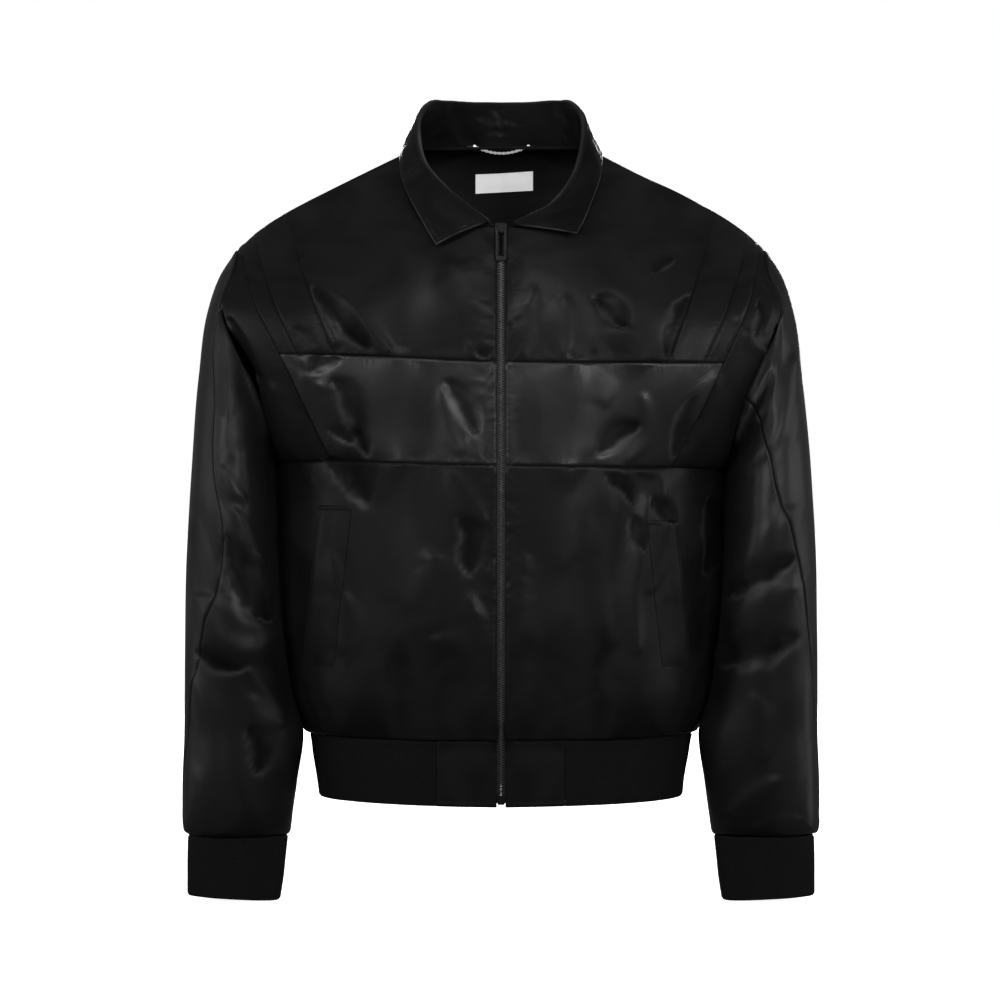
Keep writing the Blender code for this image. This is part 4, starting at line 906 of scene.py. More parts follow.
def ribMaterial():
    # matt black knit: rows of small loops on every rib
    fixed = {"Specular IOR Level": 0.06, "Sheen Weight": 0.006, "Sheen Roughness": 0.6}
    made, start, shader = material("rib knit", fixed)
    flat = clothPlace(start)
    u, v, _ = flat.parts()
    loops = (v * 4200.0 + (u * 3490.0).sin() * 0.9).sin() * 0.5 + 0.5
    fuzz = flat.noise(900.0, 3.0, 0.7)
    patch = flat.noise(22.0, 3.0)
    mixed = loops * 0.55 + fuzz * 0.45
    colour = (mixed * 0.8 + patch * 0.3).between((0.0010, 0.0010, 0.0010), (0.0044, 0.0042, 0.0041))
    plugAll(shader, colour, fuzz * 0.16 + 0.74, mixed.bump(0.0007, 0.8))
    return made


def tapeMaterial():
    # herringbone of the zip's tape
    made, start, shader = material("zip tape", {"Specular IOR Level": 0.3})
    flat = clothPlace(start)
    u, v, _ = flat.parts()
    twill = ((u * 5200.0).sin().size() * 1.98 + v * 5200.0).sin() * 0.5 + 0.5
    colour = twill.between((0.003, 0.003, 0.003), (0.012, 0.012, 0.012))
    plugAll(shader, colour, flat.noise(600.0) * 0.2 + 0.6, twill.bump(0.0003, 0.7))
    return made


def metalMaterial(name, dark, light, roughness, metallic=1.0, paintedGlow=0.0, paintedShadeAbove=9.0):
    # worn metal: cloudy colour, fine scratches; painted shade, nearly black, above a height; a painted
    # glow where given
    made, start, shader = material(name, {"Metallic": metallic, "Emission Strength": paintedGlow})
    place = start.node("ShaderNodeTexCoord", out=3)
    cloud = place.noise(260.0, 3.0)
    scratch = place.scaled(1.0, 1.0, 0.08).noise(2600.0, 2.0)
    _, _, z = place.parts()
    # painted shade: nearly black above the given height
    dim = z.ramp(paintedShadeAbove - 0.0005, paintedShadeAbove + 0.0005)
    colour = dim.between(cloud.between(dark, light), (0.002, 0.002, 0.002))
    rough = roughness + cloud * 0.12 + scratch * 0.08
    plugAll(shader, colour, rough, scratch.bump(0.00006, 0.5))
    return made


def labelMaterial():
    # plain white woven ribbon, with a painted glow
    fixed = {"Specular IOR Level": 0.35, "Sheen Weight": 0.2, "Sheen Roughness": 0.4,
             "Emission Color": (1, 1, 1, 1), "Emission Strength": 0.36}
    made, start, shader = material("label cloth", fixed)
    flat = clothPlace(start)
    u, v, _ = flat.parts()
    threads = (u * 9000.0).sin() * (v * 7000.0).sin() * 0.5 + 0.5
    stain = flat.noise(70.0, 3.0)
    colour = (stain * 0.7 + threads * 0.3).between((0.84, 0.84, 0.83), (0.93, 0.93, 0.92))
    plugAll(shader, colour, threads * 0.15 + 0.55, threads.bump(0.00025, 0.6))
    return made


satin = {part: satinMaterial(f"satin {part}", *values) for part, values in satinLitCopies.items()}
ribKnit = ribMaterial()
zipTape = tapeMaterial()
sliderEndZ = -0.1152  # the teeth above it are in the slider's shade
gunmetal = metalMaterial("gunmetal", (0.005, 0.005, 0.005), (0.014, 0.014, 0.014), 0.30)
toothMetal = metalMaterial(
    "bright gunmetal", (0.035, 0.035, 0.036), (0.13, 0.13, 0.13), 0.24, paintedShadeAbove=sliderEndZ
)
# the chain's steel glows a little: painted light
steel = metalMaterial("polished steel", (0.80, 0.80, 0.80), (0.93, 0.93, 0.92), 0.30, 0.45, 0.30)
labelCloth = labelMaterial()
print("materials made")

# ---- the body ----

# broad patches of painted shade on the front's satin: x, z, half width and half height in
# millimetres, and how deep the painted shade gets
shadePatches = (
    (-70, -505, 62, 46, 0.75), (62, -505, 50, 55, 0.75), (200, -500, 32, 70, 0.6),
    (-165, -450, 28, 80, 0.35), (-40, -120, 26, 50, 0.45), (55, -100, 50, 35, 0.35),
    (92, -380, 22, 60, 0.4), (-120, -330, 30, 22, 0.35), (-190, -180, 30, 30, 0.35),
    (28, -268, 14, 40, 0.45), (-72, -250, 18, 40, 0.35), (168, -420, 18, 70, 0.35),
    (-240, -330, 22, 50, 0.35), (262, -500, 40, 40, 0.45), (-45, -98, 55, 22, 0.75),
    (45, -92, 50, 20, 0.75), (12, -128, 16, 26, 0.5), (-12, -140, 14, 22, 0.4),
    (-285, -390, 22, 60, 0.3), (240, -590, 30, 40, 0.45), (-255, -600, 26, 40, 0.35),
    (-215, -540, 16, 30, 0.4),
)


def shadeAt(points, normals):
    # painted shade in soft, torn patches; deeper everywhere toward the hem
    x, z = points[..., 0], points[..., 2]
    torn = noise(points / np.array([0.020, 0.030, 0.034]), 611) + 0.5 * noise(points / 0.009, 612)
    total = 0.40 * ease((-0.440 - z) / 0.09 + 0.25 * torn)
    for *spot, depth in shadePatches:
        middleX, middleZ, wide, tall = (value / 1000 for value in spot)
        far = np.hypot((x - middleX) / wide, (z - middleZ) / tall) + 0.30 * torn
        total = np.maximum(total, depth * (1 - ease((far - 0.55) / 0.60)))
    return total * ease((-normals[..., 1] - 0.05) / 0.3)


def clothMaps(u, v, run, away, paintedShading):
    # the cloth's own metres, the way along and away from the nearest seam, and the shares
    # of painted shade and painted highlight
    pairs = {"cloth": (u, v), "seam": (run, away), "shade": paintedShading}
    return [(name, np.stack(pair, -1)) for name, pair in pairs.items()]


def plainMap(u, v):
    return [("cloth", np.stack([u, v], -1))]


def onBody(side, level, across, back=False):
    # points and normals of one half of the body
    point, normal = bodyPoint(level, across, back), bodyNormal(level, across, back)
    return mirror(point, side), mirror(normal, side)


def betweenEdges(level, first, last, share):
    # places along every row from one edge to the other, and the rows' levels
    across = first[:, None] + (last - first)[:, None] * share
    return np.broadcast_to(level[:, None], across.shape), across


def relief(base, normals, edges, seed, rippleSeed=5):
    # how far the outer face stands off the base surface, and the maps of the cloth
    u, v = lengths(base)
    seams, run, away = seamHeight(u, v, edges, seed)
    folds, paintedShading = foldHeight(base, normals)
    height = folds + ripple(base, normals, bodyRipple, rippleSeed) + seams + sideFill(base, normals)
    return height, clothMaps(u, v, run, away, paintedShading)


def satinPiece(node, part, base, normals, height, maps, thick="satinWall", held="hung", onto=()):
    # the outer and the inner face of one cut, joined to a wall and handed over
    height = height[..., None]
    outer = base + normals * height
    inner = base - normals * (cloth[thick] - height * 0.9)
    made = wall(f"{node}_cloth", outer, inner, satin[part], maps)
    sew(made, base, node)


def panel(node, part, side, level, first, last, edges, seed):
    # one piece of the front between two places along every row
    middle = len(level) // 2
    rows = bodyPoint(level[[middle, middle]], np.array([first[middle], last[middle]]), False)
    wide = max(float(np.linalg.norm(rows[1] - rows[0])), 0.02)
    share = spread(wide, cloth["cell"], zipEdge if edges["in"] is zipSeam else fineEdge, fineEdge)
    base, normals = onBody(side, *betweenEdges(level, first, last, share))
    satinPiece(node, part, base, normals, *relief(base, normals, edges, seed))


def rowsBetween(low, high, cell=None):
    length = high - low
    return low + spread(length, cell or cloth["rowCell"], fineEdge, fineEdge) * length


def makeFronts(side, mark):
    topZ = 0.0
    chest = rowsBetween(chestSeamZ + seamGap, topZ)
    band = rowsBetween(underarmZ + seamGap, chestSeamZ - seamGap)
    low = rowsBetween(ribTopZ + seamGap, underarmZ - seamGap)
    whole = rowsBetween(underarmZ + seamGap, topZ)
    # node, satin, rows, inner and outer edge, and the seams there; None is the side of the body
    pieces = (
        ("front_yoke", "chest", chest, zipEdgeX, yokeSeam, zipSeam, fadingSeam),
        ("strip_inner", "chest", chest, yokeSeam, stripSeam, fadingSeam, fadingSeam),
        ("strip_outer", "chest", chest, stripSeam, sideSeam, fadingSeam, fadingSeam),
        ("front_side", "chest", whole, sideSeam, None, fadingSeam, holeSeam),
        ("chest_band", "band", band, zipEdgeX, sideSeam, zipSeam, slantSeam),
        ("front_lower", "lower", low, zipEdgeX, None, zipSeam, None),
    )
    seed = 20 if side > 0 else 60
    for number, (node, part, level, inner, outer, innerSeam, outerSeam) in enumerate(pieces):
        first = acrossAt(level, inner)
        last = acrossAt(level, outer) if outer else np.ones(len(level))
        edges = {"low": raisedSeam if outerSeam else ribSeam, "high": plainSeam, "in": innerSeam}
        if outerSeam:
            edges["out"] = outerSeam
        panel(f"{node}_{mark}", part, side, level, first, last, edges, seed + number)


def makeBack():
    cell = 0.0034
    low = rowsBetween(ribTopZ + seamGap, underarmZ, cell)
    high = rowsBetween(underarmZ, 0.0, cell)
    level = np.concatenate([low[:-4], high[4:]])
    half = spread(0.24, 0.0035, (), fineEdge)
    across = np.concatenate([-half[::-1], half[1:]])
    level, across = np.broadcast_arrays(level[:, None], across[None, :])
    base, normals = onBody(1, level, np.abs(across), True)
    for part in (base, normals):
        part[..., 0] *= np.where(across < 0, -1.0, 1.0)
    edges = {"low": ribSeam, "high": plainSeam, "in": holeSeam, "out": holeSeam}
    satinPiece("back_panel", "chest", base, normals, *relief(base, normals, edges, 90, 31))


for side, mark in sides:
    makeFronts(side, mark)
makeBack()
print("body made")

# ---- the sleeves ----


def sleevePiece(node, side, steps, first, last, seed):
    # one half of a sleeve between two angles of every ring
    middle = len(steps) // 2
    across = np.linspace(first[middle], last[middle], 40)
    ring = sleevePoint(np.radians(across), np.full(40, 0.45))
    wide = float(np.linalg.norm(np.diff(ring, axis=0), axis=1).sum())
    share = spread(wide, 0.0032, fineEdge, fineEdge)
    along, angle = betweenEdges(steps, first, last, share)
    angle = np.radians(angle)
    base = mirror(sleevePoint(angle, along), side)
    normals = mirror(sleeveNormal(angle, along), side)
    u, v = lengths(base)
    edges = {"low": holeSeam, "high": ribSeam, "in": slantSeam, "out": raisedSeam}
    seams, run, away = seamHeight(u, v, edges, seed)
    # the cloth swells a little where it faces the body
    inside = ease((-side * normals[..., 0] - 0.80) / 0.15) * bell(base[..., 2] + 0.335, 0.035, 4)
    folds, paintedShading = foldHeight(base, normals, True)
    height = folds + seams + 0.0012 * inside
    height = height + ripple(base, normals, sleeveRipple, 47 + side)
    satinPiece(node, "sleeve", base, normals, height, clothMaps(u, v, run, away, paintedShading))


def makeSleeve(side, mark):
    steps = spread(0.60, 0.0029, fineEdge, fineEdge)
    here = read(sleeveSeam[mark], steps)[0]
    low = np.full(len(steps), -underSeamAngle)
    seed = 120 if side > 0 else 150
    sleevePiece(f"sleeve_front_{mark}", side, steps, low + sleeveGap, here - sleeveGap, seed)
    sleevePiece(f"sleeve_back_{mark}", side, steps, here + sleeveGap, low + 360 - sleeveGap, seed + 5)


for side, mark in sides:
    makeSleeve(side, mark)
print("sleeves made")

# ---- rib knit ----

rib = {
    "pitch": 0.0019,
    "height": 0.0006,
    "columns": 6,
}
ribProfile = np.array([0.0, 0.62, 0.95, 1.0, 0.95, 0.62])


def ribRows(low, high, count):
    # even rows, with finer ones at both ends
    fine = np.array([0.0, 0.0007, 0.0018])
    return np.unique(np.concatenate([np.linspace(low, high, count), low + fine, high - fine]))


def ribbed(node, path, out, closed):
    # path and out are rows of dense points and normals; columns are laid at an even pitch
    middle = path[len(path) // 2]
    passed = np.concatenate([[0], np.cumsum(np.linalg.norm(np.diff(middle, axis=0), axis=1))])
    ribs = int(passed[-1] / rib["pitch"])
    count = ribs * rib["columns"] + 1
    at = np.linspace(0, passed[-1], count)

    def even(rows):
        return np.stack([[np.interp(at, passed, line) for line in row.T] for row in rows]).swapaxes(1, 2)

    base, normals = even(path), unit(even(out))
    u, v = lengths(base)
    u = np.broadcast_to(at, u.shape)
    tall = v[-1:, :]
    ends = ease(v / 0.0022) * ease((tall - v) / 0.0022)
    wobble = noise(stack(u / 0.045, v / 0.045, 0.0), 71) * 0.0007
    wobble = wobble + noise(stack(u / 0.016, v / 0.020, 3.0), 72) * 0.00025
    profile = ribProfile[np.arange(count) % rib["columns"]]
    height = profile * rib["height"] * (0.3 + 0.7 * ends) - 0.0004 + wobble - 0.0008 * (1 - ends)
    outer = base + normals * height[..., None]
    inner = base - normals * (cloth["ribWall"] - 0.8 * wobble[..., None])
    made = wall(f"{node}_knit", outer, inner, ribKnit, plainMap(u, v), closed)
    sew(made, base, node)


def squared(angle, power):
    # cosine and sine of an oval with flattened sides
    return [np.sign(wave) * np.abs(wave) ** power for wave in (np.cos(angle), np.sin(angle))]


def makeCuff(side, mark):
    low, high = cuffTable[0][0], cuffTable[-1][0]
    z = ribRows(low, high, 18)[:, None]
    slant = cuffSlant * (high - z) / (high - low)
    angle = np.radians(np.linspace(0, 360, 721))[None, :]
    outerX, innerX, middleY, halfDepth = read(cuffTable, z)
    middleX, halfX = (outerX + innerX) / 2, (outerX - innerX) / 2
    squareCos, squareSin = squared(angle, 0.86)
    path = stack(middleX - halfX * squareCos, middleY - halfDepth * squareSin, z - slant * squareCos)
    run = np.gradient(path, axis=1)
    run[:, 0] = run[:, -1] = path[:, 1] - path[:, -2]
    out = unit(np.cross(run, np.array([0.0, 0.0, 1.0])))
    away = path - stack(middleX, middleY, z)
    out = out * np.sign(np.sum(out * away, axis=-1, keepdims=True))
    ribbed(f"cuff_{mark}", mirror(path, side), mirror(out, side), True)


def makeHem():
    level = ribRows(hemZ, ribTopZ - seamGap, 12)
    tab = acrossAt(level, hemTabX + 2 * seamGap)
    share = np.linspace(0, 1, 400)[None, :]
    quarters = []
    for side, back, turned in ((-1, False, False), (-1, True, True), (1, True, False), (1, False, True)):
        rows, across = betweenEdges(level, 0 * tab if back else tab, np.ones(len(level)), share)
        if turned:
            across = across[:, ::-1]
        quarters.append(onBody(side, rows, across, back))
    path, out = (np.concatenate(parts, axis=1) for parts in zip(*quarters))
    ribbed("hem_rib", path, out, False)


def makeHemTab(side, mark):
    # the plain satin end of the hem beside the zip, doubled and pressed
    level = rowsBetween(hemZ, ribTopZ - seamGap, 0.0022)
    first, last = acrossAt(level, zipEdgeX), acrossAt(level, hemTabX)
    share = spread(hemTabX - zipEdgeX, 0.0022, zipEdge, fineEdge)
    base, normals = onBody(side, *betweenEdges(level, first, last, share))
    edges = {"low": pressedEdge, "high": ribSeam, "in": zipSeam, "out": slantSeam}
    height, maps = relief(base, normals, edges, 200)
    fromHem = maps[0][1][..., 1]
    height = height * 0.8 - 0.0007 * bell(fromHem - 0.0055, 0.0009)
    node = f"hem_tab_{mark}"
    satinPiece(node, "tab", base, normals, height, maps, "ribWall", "stretched", ["hem_rib_knit"])


makeHem()
for side, mark in sides:
    makeCuff(side, mark)
    makeHemTab(side, mark)
print("rib made")

# ---- pocket welts ----

welt = {
    "edge": 0.0013,  # how far the pocket's mouth stands off the panel
    "bar": 0.0008,  # the sewn bars at both ends
    "barFrom": 0.0022,
    "stitchFrom": 0.0025,
}


def makeWelt(side, mark):
    # a narrow doubled strip lying on the panel
    table = np.array(weltLines[mark])
    low, high = table[1, 0], table[2, 0]
    level = low + spread(high - low, 0.0022, fineEdge, fineEdge) * (high - low)
    last, first = (acrossAt(level, np.interp(level, table[:, 0], table[:, row])) for row in (1, 2))
    share = spread(0.034, 0.0021, fineEdge, fineEdge)
    base, normals = onBody(side, *betweenEdges(level, first, last, share))
    u, v = lengths(base)
    fromMouth, fromTop = u[:, -1:] - u, v[-1:, :] - v
    folds, paintedShading = foldHeight(base, normals)
    under = folds + ripple(base, normals, bodyRipple, 5)
    stitch = -0.0004 * bell(fromMouth - welt["stitchFrom"], 0.0007)
    mouth = ease(fromMouth / 0.0012) * (1 - 0.8 * ease((fromMouth - 0.004) / 0.016))
    bars = bell(v - welt["barFrom"], 0.0011) + bell(fromTop - welt["barFrom"], 0.0011)
    lift = 0.0003 + (welt["edge"] * mouth + stitch) * ease(np.minimum(v, fromTop) / 0.002)
    lift = lift + welt["bar"] * bars * ease(np.minimum(u, fromMouth) / 0.002)
    outer = base + normals * (under + lift)[..., None]
    inner = base + normals * (under + 0.0002)[..., None]
    maps = clothMaps(u, v, v, np.full(u.shape, 0.05), paintedShading)
    made = wall(f"pocket_welt_{mark}_cloth", outer, inner, satin["lower"], maps)
    sew(made, base, f"pocket_welt_{mark}")


for side, mark in sides:
    makeWelt(side, mark)

# ---- collar ----

collar = {
    "fold": 0.0026,  # radius of the roll
    "start": 0.0058,  # where the collar begins, beside the middle
    "clear": 0.0012,  # between the leaf and the shoulders
    "allowance": 0.0034,  # tucked inside the neck
    "stitchFrom": 0.0030,
    "stitch": 0.0005,
    "crease": 1.5,  # how strongly the satin is creased
    "pleat": 0.00045,
}


def collarMiddle(turn, profile, mark):
    # 0 to 1 up the stand, 1 to 2 over the fold, 2 to 3 down the leaf
    rollX, rollY, rollZ, edgeX, edgeY, edgeZ = read(collarTable, turn)
    slack = bell(turn - 0.82, 0.14)
    rollZ = rollZ + rollShift[mark] * slack
    tip = ease((turn - 0.70) / 0.30)
    edgeX = edgeX - pointShift[mark][0] * tip
    edgeZ = edgeZ + pointShift[mark][1] * tip
    roll = stack(rollX, rollY, rollZ)
    edge = stack(edgeX, edgeY, edgeZ)
    start = math.asin(collar["start"] / neckHalfWidth) / (math.pi / 2)
    behind = turn < 0.5
    neckTurn = np.where(behind, turn / 0.5, start + (1 - turn) / 0.5 * (1 - start))
    seam = np.where(behind[..., None], neckline(neckTurn, True), neckline(neckTurn, False))
    late = stack(*read(collarTable, np.minimum(turn + 1e-3, 1.0))[:3])
    early = stack(*read(collarTable, np.maximum(turn - 1e-3, 0.0))[:3])
    run = unit(late - early)
    up = unit(np.array([0.0, 0.0, 1.0]) - run * run[..., 2:3])
    out = np.cross(run, up)
    out = out * np.sign(np.sum(out * roll * np.array([1, 1, 0]), axis=-1, keepdims=True))
    fold = collar["fold"]
    base = roll - up * fold
    foot = seam + up * 0.0012 - out * (cloth["collarWall"] / 2)
    stand = foot + (base - foot) * np.clip(profile, 0, 1)[..., None]
    turnedIn = (1 - ease(profile / 0.12))[..., None]
    stand = stand - (up * collar["allowance"] + out * 0.0010) * turnedIn
    swing = np.clip(profile - 1, 0, 1)[..., None] * math.pi
    over = base + out * fold * (1 - np.cos(swing)) + up * fold * np.sin(swing)
    drop = np.clip(profile - 2, 0, 1)[..., None]
    begin = base + out * fold * 2
    bulge = read(leafBulge, turn)[0][..., None]
    leaf = begin + (edge - begin) * drop + out * bulge * 4 * drop * (1 - drop)
    middle = np.where((profile <= 1)[..., None], stand, over)
    return np.where((profile > 2)[..., None], leaf, middle)


def collarPush(turn, profile, mark):
    # how far the leaf is pushed clear of the shoulders, found coarsely and spread evenly
    coarseTurn = np.concatenate([np.linspace(0, 0.5, 11), np.linspace(0.5, 1, 14)[1:]])
    coarseProfile = np.array([0, 0.5, 1, 1.33, 1.67, 2, 2.2, 2.4, 2.6, 2.8, 3])
    grid = np.broadcast_arrays(coarseTurn[:, None], coarseProfile[None, :])
    middle = collarMiddle(grid[0], grid[1], mark)
    level, across = np.linspace(-0.19, 0.0, 70)[:, None], np.linspace(0, 1, 90)[None, :]
    level, across = np.broadcast_arrays(level, across)
    halves = [onBody(1, level, across, back) for back in (False, True)]
    found, outs = (np.concatenate([part.reshape(-1, 3) for part in parts]) for parts in zip(*halves))
    flat = middle.reshape(-1, 3)
    best = ((flat[:, None] - found[None]) ** 2).sum(-1).argmin(1)
    height = np.sum((flat - found[best]) * outs[best], axis=-1).reshape(grid[0].shape)
    wanted = cloth["collarWall"] / 2 + collar["clear"]
    push = np.where(grid[1] > 2, np.maximum(wanted - height, 0), 0)
    vector = outs[best].reshape(*grid[0].shape, 3) * push[..., None]
    result = np.empty((len(turn), len(profile), 3))
    for axis in range(3):
        rows = np.stack([np.interp(profile, coarseProfile, row) for row in vector[..., axis]])
        for column in range(len(profile)):
            result[:, column, axis] = np.interp(turn, coarseTurn, rows[:, column])
    return result


def makeCollar():
    turn = np.concatenate([np.linspace(0, 0.985, 116), [0.989, 0.9925, 0.9955, 0.998, 1.0]])
    profile = np.concatenate([
        np.linspace(0, 1, 24), np.linspace(1, 2, 10)[1:],
        2 + spread(0.060, 0.0024, (0.0012,), fineEdge)[1:],
    ])
    halves = []
    for mark in ("R", "L"):
        grid = np.broadcast_arrays(turn[:, None], profile[None, :])
        middle = collarMiddle(grid[0], grid[1], mark) + collarPush(turn, profile, mark)
        halves.append(mirror(middle, -1 if mark == "R" else 1))
    middle = np.concatenate([halves[0][::-1], halves[1][1:]])
    middle[len(turn) - 1, :, 0] = 0.0
    normal = unit(np.cross(np.gradient(middle, axis=0), np.gradient(middle, axis=1)))
    if np.sum(normal[:, -2] * middle[:, -2] * np.array([1.0, 1.0, 0.0])) < 0:
        normal = -normal
    u, v = lengths(middle)
    wide, tall = u[:, -1:], v[-1:, :]
    edge = np.minimum(wide - u, np.minimum(v, tall - v))
    leaf = ease((profile - 2.0) / 0.2)[None, :]
    spot = stack(v / 0.030, u / 0.020, 0.0)
    wave = noise(spot, 301) * 0.0010 + noise(spot * 2.3, 302) * 0.0005
    wave = wave + noise(spot * 5.1, 303) * 0.00022
    roll = bell(profile - 1.5, 0.8, 4)[None, :]
    wave = wave * ease(edge / 0.010) * (1 - 0.75 * roll) * collar["crease"]
    stitched = -collar["stitch"] * bell(edge - collar["stitchFrom"], 0.0008) * leaf
    pleat = gathers(v, edge, 0.006, 0.008, collar["pleat"], 305) * ease(edge / 0.0015)
    rounding = -0.0005 * bell(edge, 0.0009) * leaf
    half = cloth["collarWall"] / 2
    outer = middle + normal * (half + wave + stitched + rounding + pleat * leaf)[..., None]
    inner = middle - normal * (half - wave * 0.9 + rounding * 0.8)[..., None]
    # painted shade, deepest up the stand's inside; the roll and the sewn edge get thin painted highlight
    # lines, broken here and there
    inside = (0.75 - 0.45 * ease((profile - 0.9) / 0.4))[None, :]
    inside = inside * (0.8 + 0.4 * noise(spot * 1.3, 306))
    highlightBreaks = 0.65 + 0.5 * noise(spot * 0.8, 307)
    rollHighlight = bell(profile - 1.40, 0.17)[None, :] * highlightBreaks
    edgeHighlight = bell(edge, 0.0008) * leaf * highlightBreaks
    maps = clothMaps(u, v, v, edge, (inside, np.clip(0.42 * rollHighlight + 0.34 * edgeHighlight, 0, 1)))
    made = wall("collar_cloth", outer, inner, satin["collar"], maps, paintedInsideLight=0.0)
    sew(made, middle, "collar")


makeCollar()
print("collar and welts made")

# ---- label and hanger ----


def backSpot(distance, z):
    # rows and places of the back given by x and height
    climb = (neckBackZ - underarmZ) / (neckBackLevel - underarmZ)
    level = underarmZ + (z - underarmZ) / climb
    tries = np.linspace(0, 1, 241)
    for _ in range(8):
        rows = bodyPoint(level.ravel()[:, None], tries[None, :], True)[..., 0]
        across = np.array([np.interp(x, row, tries) for x, row in zip(distance.ravel(), rows)])
        across = across.reshape(level.shape)
        level = level + (z - bodyPoint(level, across, True)[..., 2]) / climb
    return level, across


label = {
    "halfWidth": 0.0302,
    "topZ": -0.0055,
    "endZ": -0.0243,
    "wall": 0.0006,
    "tilt": 0.0030,
    "shift": 0.0034,
}


def makeLabel():
    share = np.linspace(0, 1, 31)
    grids = []
    for side in (-1, 1):
        tilt = side * label["tilt"] / 2 * share[None, :]
        z = np.linspace(label["endZ"], label["topZ"], 21)[:, None] + tilt
        reach = label["halfWidth"] + side * label["shift"]
        level, across = backSpot(np.broadcast_to(reach * share, z.shape), z)
        base, out = onBody(side, level, across, True)
        if side < 0:
            base, out = base[:, ::-1], out[:, ::-1]
        grids.append((base, out))
    base = np.concatenate([grids[0][0], grids[1][0][:, 1:]], axis=1)
    out = np.concatenate([grids[0][1], grids[1][1][:, 1:]], axis=1)
    u, v = lengths(base)
    wide, tall = u[:, -1:], v[-1:, :]
    edge = np.minimum(u, wide - u)
    slack = noise(stack(u / 0.020, v / 0.012, 0.0), 401) * 0.0003 * ease(edge / 0.006)
    bow = 0.0006 * np.sin(np.clip(v / tall, 0, 1) * math.pi) * ease(edge / 0.012)
    away = cloth["satinWall"] + 0.0010 + bow + slack
    shown = base - out * (away + label["wall"] + 0.0003 * bell(edge, 0.004, 4))[..., None]
    hidden = base - out * away[..., None]
    made = wall("label_cloth", shown, hidden, labelCloth, plainMap(u, v))
    sew(made, base, "label")


def loopRing(length, width, wire, sides=8, steps=20):
    # a link: a round wire bent to a long ring in its own plane
    angle = np.linspace(0, 2 * math.pi, steps, endpoint=False)
    middle = stack((length / 2 - wire) * np.cos(angle), (width / 2 - wire) * np.sin(angle), 0.0)
    run = unit(np.roll(middle, -1, axis=0) - np.roll(middle, 1, axis=0))
    side = np.cross(run, np.array([0.0, 0.0, 1.0]))
    turn = np.linspace(0, 2 * math.pi, sides, endpoint=False)
    up = np.array([0.0, 0.0, 1.0])
    circle = side[:, None] * np.cos(turn)[:, None] + up * np.sin(turn)[:, None]
    points = (middle[:, None] + circle * wire).reshape(-1, 3)
    index = np.arange(steps * sides).reshape(steps, sides)
    after = np.roll(index, -1, axis=0)
    faces = np.stack([index, np.roll(index, -1, axis=1), np.roll(after, -1, axis=1), after], -1)
    return points, faces.reshape(-1, 4)


def copies(points, faces, places, axes):
    # the same small form at many places, each with its own three axes
    moved = np.einsum("pk,nkc->npc", points, axes) + places[:, None]
    count = len(points)
    index = faces[None] + (np.arange(len(places)) * count)[:, None, None]
    return moved.reshape(-1, 3), index.reshape(-1, faces.shape[1])


hanger = {
    "x": 0.0295,
    "shift": 0.0005,
    "y": 0.0706,
    "z": 0.0192,
    "sag": 0.0078,
    "linkLength": 0.0034,
    "linkWidth": 0.0032,
    "linkWire": 0.00066,
    "links": 27,
    "tabWidth": 0.0058,
    "tabDepth": 0.0026,
    "tabHeight": 0.0054,
}


def makeHanger():
    # links along a sagging line, every second one turned a quarter
    share = np.linspace(0, 1, hanger["links"] * 20)
    reach = hanger["x"] - 0.0010
    z = hanger["z"] - hanger["sag"] * 4 * share * (1 - share)
    line = stack(hanger["shift"] + (2 * share - 1) * reach, hanger["y"], z)
    passed = np.concatenate([[0], np.cumsum(np.linalg.norm(np.diff(line, axis=0), axis=1))])
    at = (np.arange(hanger["links"]) + 0.5) / hanger["links"] * passed[-1]
    places = np.stack([np.interp(at, passed, line[:, axis]) for axis in range(3)], -1)
    run = unit(np.gradient(places, axis=0))
    flat = np.array([0.0, 1.0, 0.0])
    up = unit(np.cross(run, flat))
    turn = np.where(np.arange(len(places)) % 2 == 0, 0.30, 0.30 + math.pi / 2)[:, None]
    wide = up * np.cos(turn) + flat * np.sin(turn)
    axes = np.stack([run, wide, np.cross(run, wide)], axis=1)
    points, faces = loopRing(hanger["linkLength"], hanger["linkWidth"], hanger["linkWire"])
    chain = putIn("hanger_chain_links", *copies(points, faces, places, axes), steel)
    handOver(chain, "hanger_chain")
    for side, mark in ((1, "L"), (-1, "R")):
        makeHangerTab(side, mark)


def makeHangerTab(side, mark):
    # a small satin loop, folded round the chain's end and sewn under the neck seam
    angle = np.linspace(0, 1, 41) * 2 * math.pi
    middleZ = hanger["z"] - 0.0018
    x = hanger["shift"] + side * (hanger["x"] + 0.0001 + np.linspace(0, 1, 15) * hanger["tabWidth"])
    cosine, sine = squared(angle, 0.85)
    y, z = hanger["tabDepth"] / 2 * cosine, hanger["tabHeight"] / 2 * sine
    outer = stack(x[:, None], hanger["y"] + y, middleZ + z)
    inner = stack(x[:, None], hanger["y"] + y * 0.55, middleZ + z * 0.80)
    u, v = lengths(outer)
    maps = plainMap(u, v) + [("seam", np.stack([u, v + 0.002], -1))]
    made = wall(f"hanger_tab_{mark}_cloth", outer, inner, satin["collar"], maps, True)
    sew(made, outer, f"hanger_tab_{mark}")


makeLabel()
makeHanger()
print("label and hanger made")

# ---- zip ----

zipper = {
    "pitch": 0.00118,
    "toothHeight": 0.00092,
    "toothDepth": 0.0021,
    "halfWidth": 0.0027,
    "overlap": 0.0007,
    "topZ": -0.0885,
    "endZ": -0.6280,
    "tapeStart": 0.0004,
    "tapeEnd": 0.0135,
    "tapeTopZ": neckFrontZ - 0.006,
    "tapeEndZ": -0.6340,
}


def middleY(z):
    return -read(bodyTable, z)[1]


